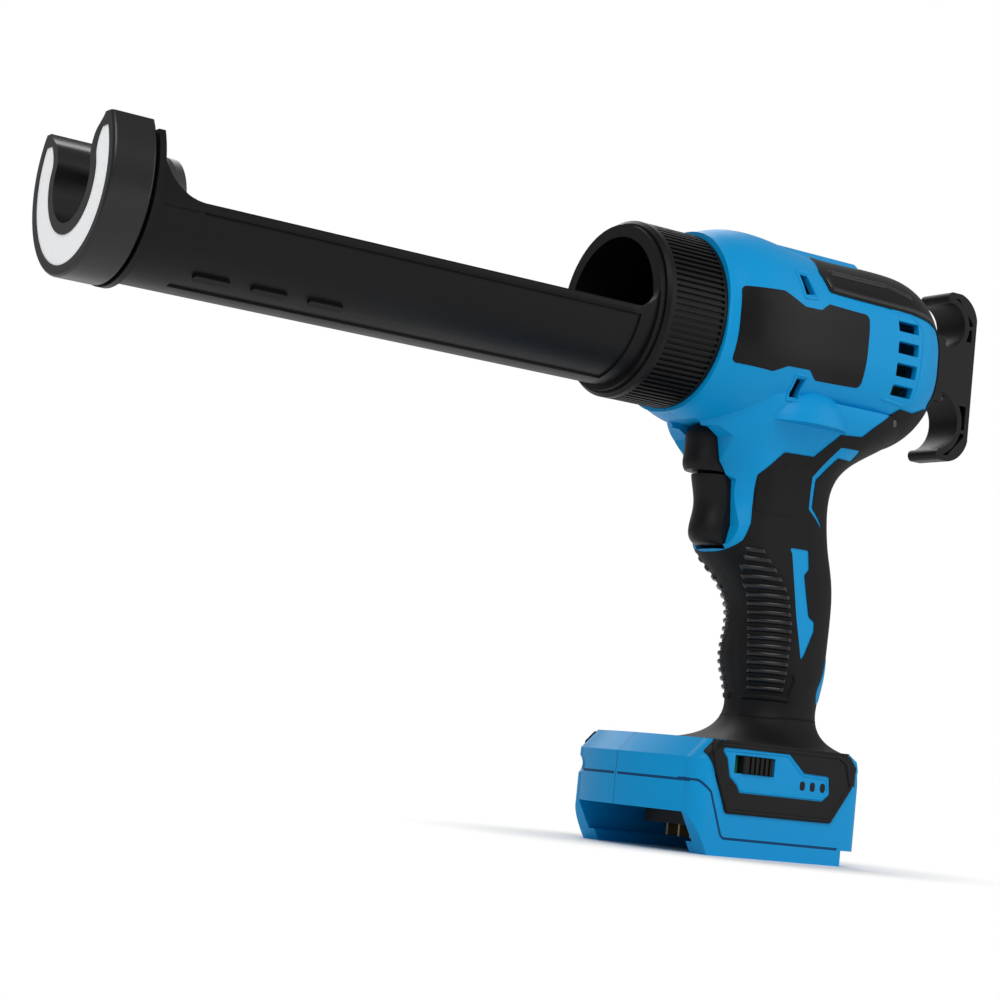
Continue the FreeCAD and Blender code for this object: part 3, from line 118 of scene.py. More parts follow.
# Side outlines, as distance along the barrel and height. A window's frame is spread from its outline, and a
# pad lies between an upper and a lower line.
WINDOWS = (
    ((-8.0, 209.2), (-3.8, 209.1), (-1.4, 202.4), (-6.4, 201.6)),
    ((-5.6, 171.6), (-1.2, 171.7), (-2.1, 165.0), (-6.0, 164.7)),
)
WINDOW_SPREAD = 1.32
PANEL = (
    (-30.2, 38.3), (-31.2, 36.4), (-29.9, 30.6), (-23.2, 15.7), (23.2, 15.7), (31.6, 28.4), (28.9, 36.5),
    (25.4, 38.5),
)
BEZEL = (
    (-26.4, 36.6), (1.9, 37.1), (9.6, 30.7), (20.6, 30.4), (21.4, 25.2), (18.8, 23.1), (-18.2, 23.1),
    (-19.4, 25.3), (-22.8, 28.0), (-24.4, 33.8),
)
# Seams of the foot: along a side, and from near the middle to the corner across the front
FOOT_STEP = ((-39.5, 25.4), (-35.5, 25.3), (-30.6, 21.8), (-24.9, 7.2), (-23.6, 6.2), (28.5, 6.0))
FOOT_FRONT = (0.6, 34.0)
FOOT_FRONT_LEVEL = 25.0
PANEL_TOP = ((-30.6, 39.15), (30.2, 39.15))
# The foot's top beside the panel: from front to rear, outwards from the middle, and a height above it
SHELF = (-29.5, 30.0), (30.5, 36.9)
SHELF_START = 60.0
CORNER_TOP = ((28.2, 39.6), (31.0, 39.2), (34.2, 35.4))
CORNER_FOOT = ((28.2, 36.8), (31.4, 28.6), (34.2, 28.6))
VENT_BORDER = (
    (36.8, 204.2), (45.4, 205.0), (51.8, 200.0), (51.8, 191.3), (51.4, 177.0), (50.9, 172.9), (47.6, 170.4),
    (36.0, 171.2),
)
# Path of a dark line of painted shade in the groove under the cradle's rim
CRADLE_GROOVE_SHADE = ((-256.0, 182.0), (-74.0, 182.0))
CRADLE_LIP = ((-236.0, 183.7), (-74.0, 183.7))
COVER_BEADS = (
    ((7.6, 211.6), (8.8, 207.2), (47.4, 206.4), (55.5, 205.3), (61.0, 203.6)),
    ((11.0, 214.4), (38.0, 214.4), (50.0, 211.6)),
)
STUD = (47.0, 164.0)
GRIP_PAD_TOP = ((-7.2, 135.8), (3.5, 142.5), (14.8, 142.3))
GRIP_PAD_FOOT = ((-7.2, 135.2), (-6.4, 123.0), (8.0, 123.2), (14.1, 126.6), (14.8, 141.8))
INLAY_TOP = ((30.4, 62.5), (33.0, 68.0), (35.6, 75.5))
INLAY_FOOT = ((30.4, 60.5), (31.6, 57.0), (35.6, 58.5))
GRIP_BAR = ((15.4, 57.0), (16.8, 57.2), (18.4, 64.5), (17.0, 67.2))
# The right side has a screw well behind the bar, so the bar stands further forward there
BAR_SHIFT = {"left": 0.0, "right": 3.2}

# Half width and height of each bead
BAR_WRAP_BEAD = 1.0 * MM, 0.7 * MM
BAR_BEAD = 0.9 * MM, 0.7 * MM
PANEL_BEAD = 0.75 * MM, 0.5 * MM
PANEL_TOP_BEAD = 0.85 * MM, 0.2 * MM
BEZEL_BEAD = 0.5 * MM, 0.35 * MM
LIP_BEAD = 1.1 * MM, 0.4 * MM
# Half widths of the beads that follow the frame height, and the vent border's share of that height
FRAME_HALF = 0.62 * MM
VENT_HALF = 0.6 * MM
VENT_SHARE = 0.7
COVER_HALF = 0.9 * MM
# Radius and height of the stud
STUD_DOME = 1.5 * MM, 0.7 * MM
# Heights of the pads and of a seam, and how far the skin on the foot's top goes past the wall
GRIP_PAD_HEIGHT = 0.5 * MM
INLAY_HEIGHT = 0.35 * MM
CORNER_HEIGHT = 0.2 * MM
SEAM_HEIGHT = 0.12 * MM
LEDGE_OUT = 0.25 * MM
# The foot's seam is this much wider than the others
FOOT_SEAM_SHARE = 1.4
# Steps along a bead: usual, on small frames, round the foot and along the cradle
GAP = 0.8 * MM
FRAME_GAP = 0.5 * MM
FOOT_GAP = 0.6 * MM
CRADLE_GAP = 2.0 * MM
# Points along and across a pad, a ledge and a window's sheet, and round and out from the stud's middle
PAD_STEPS = 40, 24
LEDGE_STEPS = 60, 12
SHEET_STEPS = 5, 5
STUD_STEPS = 20, 6

# The point that the lamps look at
AIM = (-0.08, 0.0, 0.13)
# Each lamp's place, size and the setting that holds its power
LAMPS = {
    "key": ((-0.75, -1.0, 1.25), 1.0, "key_power"),
    "fill": ((0.95, -0.9, 0.55), 1.2, "fill_power"),
    "rim": ((0.25, 1.05, 1.0), 1.0, "rim_power"),
}
FLOOR_RINGS = np.array([0.02, 0.2, 0.5, 1.0, 2.0, 4.0])
FLOOR_STEPS = 64
# The floor fades to white between these distances from the foot's middle
FLOOR_FADE = 0.045, 0.12

# Depths of the bump
SMOOTH, FINE, PEBBLED = 0.01 * MM, 0.02 * MM, 0.04 * MM
BUMP_STRENGTH = 0.35
# Noise mostly lies in this range, and roughness drifts this far to each side
NOISE_SPAN = 0.3, 0.7
ROUGH_SPAN = -0.04, 0.05
# Shine of plastic with a dull and with a bright skin
DULL, BRIGHT = 0.18, 0.5
# Half width of the line where two halves of a moulding meet, and its share of the colour beside it
PARTING_HALF = 0.12 * MM
PARTING_SHADE = 0.12
# Finishes with no setting of their own: colour, roughness, grain scale, bump depth and colour drift
PLASTICS = {
    # The first near-black is the neck seam's own colour and also painted shade: the sheets behind the windows
    # and the groove line under the cradle's rim
    "seam_dark": ((0.004, 0.004, 0.0045), 0.75, 2000.0, SMOOTH, 0.1),
    "seam_blue": ((0.001, 0.05, 0.16), 0.6, 2000.0, SMOOTH, 0.1),
    "lead_rubber": ((0.40, 0.02, 0.02), 0.5, 2400.0, FINE, 0.1),
    "circuit_green": ((0.003, 0.006, 0.004), 0.35, 2400.0, SMOOTH, 0.12),
    "lamp_dark": ((0.005, 0.005, 0.006), 0.25, 2400.0, SMOOTH, 0.1),
}
CASTINGS = {
    "cast_aluminium": ((0.60, 0.61, 0.63), 0.45, 1800.0, PEBBLED, 0.06),
    "dark_casting": ((0.05, 0.05, 0.053), 0.5, 1800.0, PEBBLED, 0.08),
}
BRUSHED = {
    "plain_steel": ((0.55, 0.56, 0.58), 0.30, 900.0, SMOOTH, 0.06),
    "dark_steel": ((0.11, 0.11, 0.115), 0.42, 900.0, SMOOTH, 0.08),
    "bearing_brass": ((0.72, 0.53, 0.26), 0.32, 900.0, SMOOTH, 0.06),
}
# Colour and strength of a faint painted glow on the light ring, whose lamp is off, that lifts its white
RING_PAINTED_GLOW = (0.95, 0.97, 1.0, 1.0), 0.18
# Each node takes the finish of its slot in the record, apart from a few nodes that differ from their slot
FINISH_OF_SLOT = {
    "blue_plastic": "housing_blue", "black_plastic": "moulding_black", "grip_rubber": "grip_black",
    "charcoal_plastic": "trigger_charcoal", "white_diffuser": "diffuser_white",
    "cast_aluminium": "cast_aluminium", "plain_steel": "plain_steel", "bearing_brass": "bearing_brass",
    "lead_rubber": "lead_rubber", "circuit_green": "circuit_green", "lamp_plastic": "lamp_dark",
}
FINISH_OF_NODE = {
    "side_plate_left": "plate_black", "side_plate_right": "plate_black", "piston_plate": "dark_steel",
    "piston_screw": "dark_steel", "housing_screws": "dark_steel", "gear_case": "dark_casting",
    "nose_ring": "nose_black",
}


class FinishSettings(bpy.types.PropertyGroup):
    """Colours of the mouldings."""

    housing_blue: bpy.props.FloatVectorProperty(
        name="Housing blue", description="Colour of the housing mouldings", subtype="COLOR", size=3,
        min=0.0, max=1.0, default=(0.0, 0.30, 0.66))
    moulding_black: bpy.props.FloatVectorProperty(
        name="Moulding black", description="Colour of the cradle, collar and covers", subtype="COLOR", size=3,
        min=0.0, max=1.0, default=(0.0062, 0.0062, 0.0068))
    grip_black: bpy.props.FloatVectorProperty(
        name="Grip black", description="Colour of the soft grip", subtype="COLOR", size=3,
        min=0.0, max=1.0, default=(0.0075, 0.0075, 0.0082))
    trigger_grey: bpy.props.FloatVectorProperty(
        name="Trigger charcoal", description="Colour of both triggers", subtype="COLOR", size=3,
        min=0.0, max=1.0, default=(0.0085, 0.0085, 0.0095))
    diffuser_white: bpy.props.FloatVectorProperty(
        name="Diffuser white", description="Colour of the light ring", subtype="COLOR", size=3,
        min=0.0, max=1.0, default=(0.94, 0.95, 0.96))


class ReliefSettings(bpy.types.PropertyGroup):
    """Sizes of the moulded relief."""

    rib_count: bpy.props.IntProperty(
        name="Grip ribs", description="Ribs down each side of the grip", min=4, max=30, default=17)
    rib_top: bpy.props.FloatProperty(
        name="Top rib", description="Height of the top rib", unit="LENGTH", default=109.6 * MM)
    rib_pitch: bpy.props.FloatProperty(
        name="Rib pitch", description="Height from rib to rib", unit="LENGTH", default=3.05 * MM)
    rib_half: bpy.props.FloatProperty(
        name="Rib half width", description="Half the width of one rib", unit="LENGTH", default=1.05 * MM)
    rib_height: bpy.props.FloatProperty(
        name="Rib height", description="How far a rib stands off the grip", unit="LENGTH", default=0.95 * MM)
    line_half: bpy.props.FloatProperty(
        name="Seam half width", description="Half the width of a moulding seam", unit="LENGTH",
        default=0.42 * MM)
    frame_height: bpy.props.FloatProperty(
        name="Frame height", description="How far window frames stand proud", unit="LENGTH",
        default=0.55 * MM)


class StageSettings(bpy.types.PropertyGroup):
    """Camera and lamps."""

    eye: bpy.props.FloatVectorProperty(
        name="Camera place", description="Where the camera stands", subtype="TRANSLATION", size=3,
        default=(-0.551764, -0.702756, 0.022606))
    yaw: bpy.props.FloatProperty(
        name="Camera yaw", description="Turn of the view from straight across", subtype="ANGLE",
        default=math.radians(32.43774))
    pitch: bpy.props.FloatProperty(
        name="Camera pitch", description="How far the camera looks up", subtype="ANGLE",
        default=math.radians(6.23949))
    roll: bpy.props.FloatProperty(
        name="Camera roll", description="Lean of the camera", subtype="ANGLE", default=math.radians(5.98917))
    lens: bpy.props.FloatProperty(
        name="Focal length", description="Lens on a 36 mm sensor", unit="CAMERA", default=87.44)
    key_power: bpy.props.FloatProperty(
        name="Key lamp", description="Power of the large lamp", unit="POWER", default=13.0)
    fill_power: bpy.props.FloatProperty(
        name="Fill lamp", description="Power of the side lamp", unit="POWER", default=4.5)
    rim_power: bpy.props.FloatProperty(
        name="Rim lamp", description="Power of the lamp behind", unit="POWER", default=8.0)
    sky: bpy.props.FloatProperty(
        name="Room light", description="Even light from all round", min=0.0, max=2.0, default=0.33)


def shader_group(name, inputs, outputs):
    """An empty node group with named float or vector inputs and float outputs."""
    group = bpy.data.node_groups.new(name, "ShaderNodeTree")
    for label, kind, value in inputs:
        socket = group.interface.new_socket(label, in_out="INPUT", socket_type=kind)
        if kind == "NodeSocketFloat":
            socket.default_value = value
    for label in outputs:
        group.interface.new_socket(label, in_out="OUTPUT", socket_type="NodeSocketFloat")
    return group, group.nodes.new("NodeGroupInput"), group.nodes.new("NodeGroupOutput")


def noise(nodes, detail, roughness):
    """A noise texture with its detail and roughness set."""
    made = nodes.new("ShaderNodeTexNoise")
    made.inputs["Detail"].default_value = detail
    made.inputs["Roughness"].default_value = roughness
    return made


def moulded_grain_group():
    """Fine pebbled height from small noise, and slow colour drift from large noise."""
    group, start, end = shader_group(
        "moulded_grain",
        (("Vector", "NodeSocketVector", None), ("Grain Scale", "NodeSocketFloat", 2200.0),
         ("Drift Scale", "NodeSocketFloat", 24.0)),
        ("Height", "Drift"))
    fine, slow = noise(group.nodes, 3.0, 0.55), noise(group.nodes, 4.0, 0.6)
    for made, scale, out in ((fine, "Grain Scale", "Height"), (slow, "Drift Scale", "Drift")):
        group.links.new(start.outputs["Vector"], made.inputs["Vector"])
        group.links.new(start.outputs[scale], made.inputs["Scale"])
        group.links.new(made.outputs["Fac"], end.inputs[out])
    return group


def parting_seam_group():
    """A line where the distance from the middle plane is under the seam's half width."""
    group, start, end = shader_group(
        "parting_seam",
        (("Vector", "NodeSocketVector", None), ("Half Width", "NodeSocketFloat", 0.00025)),
        ("Line",))
    split = group.nodes.new("ShaderNodeSeparateXYZ")
    size = group.nodes.new("ShaderNodeMath")
    size.operation = "ABSOLUTE"
    under = group.nodes.new("ShaderNodeMath")
    under.operation = "LESS_THAN"
    group.links.new(start.outputs["Vector"], split.inputs[0])
    group.links.new(split.outputs["Y"], size.inputs[0])
    group.links.new(size.outputs[0], under.inputs[0])
    group.links.new(start.outputs["Half Width"], under.inputs[1])
    group.links.new(under.outputs[0], end.inputs["Line"])
    return group


def brushed_group():
    """Long fine scratches: noise squeezed hard along the length."""
    group, start, end = shader_group(
        "brushed_metal", (("Vector", "NodeSocketVector", None), ("Grain Scale", "NodeSocketFloat", 900.0)),
        ("Height", "Drift"))
    stretch = group.nodes.new("ShaderNodeMapping")
    stretch.inputs["Scale"].default_value = (0.03, 1.0, 1.0)
    grain, slow = noise(group.nodes, 2.0, 0.6), noise(group.nodes, 3.0, 0.5)
    slow.inputs["Scale"].default_value = 60.0
    group.links.new(start.outputs["Vector"], stretch.inputs["Vector"])
    group.links.new(stretch.outputs["Vector"], grain.inputs["Vector"])
    group.links.new(start.outputs["Grain Scale"], grain.inputs["Scale"])
    group.links.new(start.outputs["Vector"], slow.inputs["Vector"])
    group.links.new(grain.outputs["Fac"], end.inputs["Height"])
    group.links.new(slow.outputs["Fac"], end.inputs["Drift"])
    return group


def ranged(tree, source, low, high):
    """A noise value spread between two limits."""
    spread = tree.nodes.new("ShaderNodeMapRange")
    spread.inputs["From Min"].default_value, spread.inputs["From Max"].default_value = NOISE_SPAN
    spread.inputs["To Min"].default_value, spread.inputs["To Max"].default_value = low, high
    tree.links.new(source, spread.inputs["Value"])
    return spread.outputs["Result"]


def finish(name, colour, rough, grain, depth, drift, metallic=0.0, effect="moulded_grain", seam=False,
           shine=DULL):
    """A material whose colour, roughness and bump follow one shared effect, with a parting seam if asked."""
    made = bpy.data.materials.new(name)
    made.use_nodes = True
    made.diffuse_color = (*colour, 1.0)
    tree = made.node_tree
    shader = tree.nodes["Principled BSDF"]
    shader.inputs["Metallic"].default_value = metallic
    shader.inputs["Specular IOR Level"].default_value = BRIGHT if metallic else shine
    place = tree.nodes.new("ShaderNodeTexCoord").outputs["Object"]
    texture = tree.nodes.new("ShaderNodeGroup")
    texture.node_tree = bpy.data.node_groups[effect]
    texture.inputs["Grain Scale"].default_value = grain
    tree.links.new(place, texture.inputs["Vector"])
    blend = tree.nodes.new("ShaderNodeMix")
    blend.data_type = "RGBA"
    blend.inputs["A"].default_value = (*(c * (1.0 - drift) for c in colour), 1.0)
    blend.inputs["B"].default_value = (*(min(c * (1.0 + drift), 1.0) for c in colour), 1.0)
    tree.links.new(texture.outputs["Drift"], blend.inputs["Factor"])
    shade = blend.outputs["Result"]
    if seam:
        line = tree.nodes.new("ShaderNodeGroup")
        line.node_tree = bpy.data.node_groups["parting_seam"]
        line.inputs["Half Width"].default_value = PARTING_HALF
        tree.links.new(place, line.inputs["Vector"])
        darker = tree.nodes.new("ShaderNodeMix")
        darker.data_type = "RGBA"
        darker.inputs["B"].default_value = (*(c * PARTING_SHADE for c in colour), 1.0)
        tree.links.new(line.outputs["Line"], darker.inputs["Factor"])
        tree.links.new(shade, darker.inputs["A"])
        shade = darker.outputs["Result"]
    tree.links.new(shade, shader.inputs["Base Color"])
    uneven = ranged(tree, texture.outputs["Drift"], *(rough + change for change in ROUGH_SPAN))
    tree.links.new(uneven, shader.inputs["Roughness"])
    bump = tree.nodes.new("ShaderNodeBump")
    bump.inputs["Strength"].default_value = BUMP_STRENGTH
    bump.inputs["Distance"].default_value = depth
    tree.links.new(texture.outputs["Height"], bump.inputs["Height"])
    tree.links.new(bump.outputs["Normal"], shader.inputs["Normal"])
    return made


def snapped(points, nodes, axis=None, sign=0, turn=0.0):
    """Points laid on the named nodes: shot along an axis from outside, or moved to the nearest place on the
    node. With a turn, the axis is turned about the upright and the points start well outside along it."""
    spin = np.array(Matrix.Rotation(turn, 3, "Z"))
    flat = points.reshape(-1, 3) @ spin
    if turn:
        flat[:, 1] = sign * SHOT
    mesh = bpy.data.meshes.new("draft")
    mesh.from_pydata(flat.tolist(), [], [])
    draft = bpy.data.objects.new("draft", mesh)
    draft.rotation_euler.z = turn
    bpy.context.scene.collection.objects.link(draft)
    press = draft.modifiers.new("press", "SHRINKWRAP")
    press.target = frame["nodes"][nodes[0]]
    press.wrap_method = "PROJECT" if axis else "NEAREST_SURFACEPOINT"
    if axis:
        setattr(press, "use_project_" + axis, True)
        press.use_positive_direction, press.use_negative_direction = sign < 0, sign > 0
        if len(nodes) > 1:
            press.auxiliary_target = frame["nodes"][nodes[1]]
    laid = np.empty(flat.size, np.float32)
    draft.evaluated_get(bpy.context.evaluated_depsgraph_get()).data.vertices.foreach_get("co", laid)
    bpy.data.objects.remove(draft)
    bpy.data.meshes.remove(mesh)
    laid = laid.reshape(-1, 3).astype(float)
    missed = flat[np.abs(laid - flat).max(1) < 0.001 * MM]
    if axis and len(missed):
        low, high = missed.min(0).round(4), missed.max(0).round(4)
        raise RuntimeError(f"{nodes}: {len(missed)} points from {low} to {high} miss the surface")
    return (laid @ spin.T).reshape(points.shape)


def outward(points, out):
    """Unit normals of a grid of points, turned to the side that the hint points to."""
    normal = np.cross(np.gradient(points, axis=0), np.gradient(points, axis=1))
    normal /= np.maximum(np.linalg.norm(normal, axis=-1, keepdims=True), 1e-12)
    return normal * np.sign((normal * out).sum(-1).mean() or 1.0)


def facing_out(points, faces):
    """Faces of a closed shell, turned over if their signed volume is below zero."""
    a, b, c, e = (points[faces[:, k]] for k in range(4))
    volume = (a * np.cross(b, c)).sum() + (a * np.cross(c, e)).sum()
    return faces if volume > 0 else faces[:, ::-1]


def slab(top, foot):
    """A closed slab between two grids of the same size: top, foot turned over, and a border round both."""
    rows, cols = top.shape[:2]
    index = np.arange(rows * cols).reshape(rows, cols)
    upper = np.stack([index[:-1, :-1], index[1:, :-1], index[1:, 1:], index[:-1, 1:]], -1).reshape(-1, 4)
    rim = np.concatenate([index[0, :], index[1:, -1], index[-1, -2::-1], index[-2:0:-1, 0]])
    ahead = np.roll(rim, -1)
    wall = np.stack([rim, ahead, ahead + rows * cols, rim + rows * cols], -1)
    points = np.concatenate([top.reshape(-1, 3), foot.reshape(-1, 3)])
    return points, facing_out(points, np.concatenate([upper, upper[:, ::-1] + rows * cols, wall]))


def hoop(top, foot):
    """A closed ring: each row's section runs over the top and back under the foot, and the last row joins the
    first."""
    loop = np.concatenate([top, foot[:, ::-1]], axis=1)
    rows, cols = loop.shape[:2]
    index = np.arange(rows * cols).reshape(rows, cols)
    next_row, next_col = np.roll(index, -1, 0), np.roll(index, -1, 1)
    faces = np.stack([index, next_row, np.roll(next_row, -1, 1), next_col], -1).reshape(-1, 4)
    points = loop.reshape(-1, 3)
    return points, facing_out(points, faces)


def piece(name, shells, material, body="tool"):
    """One object from closed shells, riding on a body."""
    points, faces, count = [], [], 0
    for shell_points, shell_faces in shells:
        points.append(shell_points)
        faces.append(shell_faces + count)
        count += len(shell_points)
    mesh = bpy.data.meshes.new(name)
    mesh.from_pydata(np.concatenate(points).tolist(), [], np.concatenate(faces).tolist())
    mesh.polygons.foreach_set("use_smooth", np.ones(len(mesh.polygons), bool))
    mesh.set_sharp_from_angle(angle=SHARP)
    mesh.materials.append(bpy.data.materials[material])
    made = bpy.data.objects.new(name, mesh)
    bpy.context.scene.collection.objects.link(made)
    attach(made, body)
    return made


def spaced(path, gap, closed=False):
    """Points at even steps along a line of corners, in metres, with the distance run at each."""
    corners = np.asarray(path, float) * MM
    if closed:
        corners = np.vstack([corners, corners[:1]])
    run = np.concatenate([[0.0], np.cumsum(np.linalg.norm(np.diff(corners, axis=0), axis=1))])
    count = max(int(run[-1] / gap), 10)
    at = np.linspace(0.0, run[-1], count, endpoint=not closed)
    return np.stack([np.interp(at, run, corners[:, k]) for k in range(corners.shape[1])], 1), at, run[-1]


def raised(laid, normal, rise):
    """The upper and the under side of a raised form, from points on the skin."""
    return laid + normal * (rise - RIM_SINK)[..., None], laid - normal * ROOT


def strip(path, half, height, nodes, axis, sign, closed=False, gap=GAP):
    """A rounded bead along a line laid on the nodes: the section is height times one minus the fourth power
    of the place across, and an open bead's ends fall away over one half width."""
    line, at, whole = spaced(path, gap, closed)
    if closed:
        ahead = np.roll(line, -1, 0) - np.roll(line, 1, 0)
    else:
        ahead = np.gradient(line, axis=0)
    ahead /= np.linalg.norm(ahead, axis=1, keepdims=True)
    side = np.stack([-ahead[:, 1], ahead[:, 0]], 1)
    flat = line[:, None, :] + half * ACROSS[None, :, None] * side[:, None, :]
    start = np.full(flat.shape[:2], sign * SHOT)
    if axis == "y":
        grid = np.stack([flat[..., 0], start, flat[..., 1]], -1)
        out = np.array([0.0, sign, 0.0])
    else:
        grid = np.stack([start * 2.0, flat[..., 0], flat[..., 1]], -1)
        out = np.array([sign, 0.0, 0.0])
    laid = snapped(grid, nodes, axis, sign)
    normal = outward(laid, out)
    rise = height * PROFILE[None, :] * np.ones(len(line))[:, None]
    if not closed:
        rise *= np.sqrt(np.clip(np.minimum(at, whole - at) / half, 0.0, 1.0))[:, None]
    top, foot = raised(laid, normal, rise)
    return hoop(top, foot) if closed else slab(top, foot)


def pad(top_line, foot_line, height, nodes, sign, edge=0.8 * MM):
    """A flat raised pad between two lines, with its edges rounded off over a short way."""
    x = np.linspace(top_line[0][0], top_line[-1][0], PAD_STEPS[0])
    high = np.interp(x, *np.array(top_line).T)
    low = np.interp(x, *np.array(foot_line).T)
    part = np.linspace(0.0, 1.0, PAD_STEPS[1])
    z = low[:, None] + (high - low)[:, None] * part[None, :]
    along = np.broadcast_to(x[:, None], z.shape)
    grid = np.stack([along * MM, np.full(z.shape, sign * SHOT), z * MM], -1)
    laid = snapped(grid, nodes, "y", sign)
    normal = outward(laid, np.array([0.0, sign, 0.0]))
    from_ends = np.minimum(x - x[0], x[-1] - x)[:, None] * MM
    from_lines = (high - low)[:, None] * np.minimum(part, 1.0 - part)[None, :] * MM
    inside = np.clip(np.minimum(from_ends, from_lines) / edge, 0.0, 1.0)
    return slab(*raised(laid, normal, height * np.sqrt(1.0 - (1.0 - inside) ** 2)))


def ledge(x_range, y_range, node, side):
    """A thin skin on a shelf that faces up, shot down from above and set out past the wall below its edge."""
    along, out = np.linspace(*x_range, LEDGE_STEPS[0]), np.linspace(*y_range, LEDGE_STEPS[1])
    x, y = np.meshgrid(along, out, indexing="ij")
    laid = snapped(np.stack([x, side * y, np.full(x.shape, SHELF_START)], -1) * MM, [node], "z", 1)
    laid[..., 1] += side * LEDGE_OUT
    return slab(laid + UP * SEAM_HEIGHT, laid - UP * ROOT)


def stud(centre, radius, height, nodes, sign):
    """A low round dome laid on the nodes: rings of points whose rise follows a circle's arc. A pinhole at the
    middle and a sliver of height at the rim keep every face open."""
    turn = np.linspace(0.0, 2.0 * math.pi, STUD_STEPS[0], endpoint=False)
    ring = np.linspace(0.02, 1.0, STUD_STEPS[1])
    x = centre[0] * MM + radius * np.outer(np.cos(turn), ring)
    z = centre[1] * MM + radius * np.outer(np.sin(turn), ring)
    laid = snapped(np.stack([x, np.full(x.shape, sign * SHOT), z], -1), nodes, "y", sign)
    rise = height * np.sqrt(1.0 - 0.999 * ring ** 2)[None, :]
    return hoop(*raised(laid, np.array([0.0, sign, 0.0]), rise))


def wrapped(heights, start, end, side, node, half, height, steps=30, shot=False):
    """Beads round the handle: each follows the handle's section, a rounded box, from one angle to another
    about its middle, with the section's front, rear and half width read off the table of sections. A bead
    starts clear of the handle so that it lands on the outer face, or is shot from the front corner so that it
    keeps its height."""
    shells = []
    power = 2.0 / SECTION_POWER
    clear = 0.0 if shot else CLEAR
    for z, first, last in zip(heights, start, end):
        level = z / MM + ACROSS * half / MM
        front, rear, wide = (np.interp(level, SECTIONS[:, 0], SECTIONS[:, k]) for k in (1, 2, 3))
        turn = np.linspace(first, last, steps)[:, None]
        c, s = np.cos(turn), np.sin(turn)
        x = (front + rear) / 2 + ((rear - front) / 2 + clear) * np.sign(c) * np.abs(c) ** power
        y = side * (wide + clear) * np.abs(s) ** power
        grid = np.stack([x, y, np.broadcast_to(level, x.shape)], -1) * MM
        if shot:
            laid = snapped(grid, [node], "y", side, side * CORNER_TURN)
        else:
            laid = snapped(grid, [node])
        middle = np.array([(front + rear).mean() / 2 * MM, 0.0, z])
        normal = outward(laid, laid - middle)
        ridge = laid[:, len(ACROSS) // 2]
        far = np.concatenate([[0.0], np.cumsum(np.linalg.norm(np.diff(ridge, axis=0), axis=1))])
        ends = np.sqrt(np.clip(np.minimum(far, far[-1] - far) / half, 0.0, 1.0))
        shells.append(slab(*raised(laid, normal, height * PROFILE[None, :] * ends[:, None])))
    return shells


def shade_sheet(outline, nodes, side, depth=3.2 * MM, thick=0.6 * MM):
    """A thin sheet, used as painted shade behind an opening: a flat grid on the plane that best fits the wall
    round the opening, set inwards."""
    rim = spaced(outline, 1.0 * MM, True)[0]
    wall = snapped(np.stack([rim[:, 0], np.full(len(rim), side * SHOT), rim[:, 1]], -1), nodes, "y", side)
    terms = np.column_stack([np.ones(len(wall)), wall[:, 0], wall[:, 2]])
    level = np.linalg.lstsq(terms, wall[:, 1], rcond=None)[0]
    low, high = rim.min(0), rim.max(0)
    x, z = np.meshgrid(*(np.linspace(low[k], high[k], SHEET_STEPS[k]) for k in (0, 1)))
    face = np.stack([x, level[0] + level[1] * x + level[2] * z - side * depth, z], -1)
    return slab(face, face - np.array([0.0, side * thick, 0.0]))


class CAULK_OT_finishes(bpy.types.Operator):
    """Give every solid its procedural material."""

    bl_idname = "caulk.finishes"
    bl_label = "Finishes"

    def execute(self, context):
        """Builds the shared effects and the finishes, and puts one on each node by its slot in the record."""
        chosen = context.scene.caulk_finish
        moulded_grain_group()
        parting_seam_group()
        brushed_group()
        finish("housing_blue", chosen.housing_blue, 0.42, 2600.0, FINE, 0.05, seam=True)
        finish("moulding_black", chosen.moulding_black, 0.40, 2600.0, FINE, 0.15, seam=True)
        finish("nose_black", chosen.moulding_black, 0.30, 2600.0, FINE, 0.15, seam=True, shine=BRIGHT)
        finish("plate_black", chosen.moulding_black, 0.33, 3200.0, SMOOTH, 0.12)
        finish("grip_black", chosen.grip_black, 0.60, 1900.0, PEBBLED, 0.15, seam=True)
        finish("rib_black", chosen.grip_black, 0.30, 1900.0, SMOOTH, 0.15, shine=BRIGHT)
        finish("trigger_charcoal", chosen.trigger_grey, 0.38, 2600.0, FINE, 0.12)
        lit = finish("diffuser_white", chosen.diffuser_white, 0.30, 1500.0, SMOOTH, 0.03)
        # The light ring gets a faint painted glow, though its lamp is off
        shader = lit.node_tree.nodes["Principled BSDF"]
        glow = shader.inputs["Emission Color"], shader.inputs["Emission Strength"]
        glow[0].default_value, glow[1].default_value = RING_PAINTED_GLOW
        for name, look in PLASTICS.items():
            finish(name, *look)
        for name, look in CASTINGS.items():
            finish(name, *look, metallic=1.0)
        for name, look in BRUSHED.items():
            finish(name, *look, metallic=1.0, effect="brushed_metal")
        for row in frame["record"]["subparts"]:
            node = frame["nodes"][row["node"]]
            label = FINISH_OF_NODE.get(row["node"], FINISH_OF_SLOT[row["material_slot"]])
            node.data.materials.clear()
            node.data.materials.append(bpy.data.materials[label])
        return {"FINISHED"}


class CAULK_OT_springs(bpy.types.Operator):
    """Copies of the springs behind the triggers, set on the bodies that hold their joints."""

    bl_idname = "caulk.springs"
    bl_label = "Springs"

    def execute(self, context):
        """Each spring's mesh becomes a coil of its own on the joint's parent body, and the spring itself is
        hidden.
        """
        for joint in frame["record"]["behaviour"]["joints"]:
            for soft in joint.get("deforming_nodes", ()):
                node = soft["node"]
                made = bpy.data.objects.new(node.replace("spring", "coil"), frame["nodes"][node].data.copy())
                context.scene.collection.objects.link(made)
                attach(made, joint["parent"])
                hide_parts(node)
                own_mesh(made)
        return {"FINISHED"}


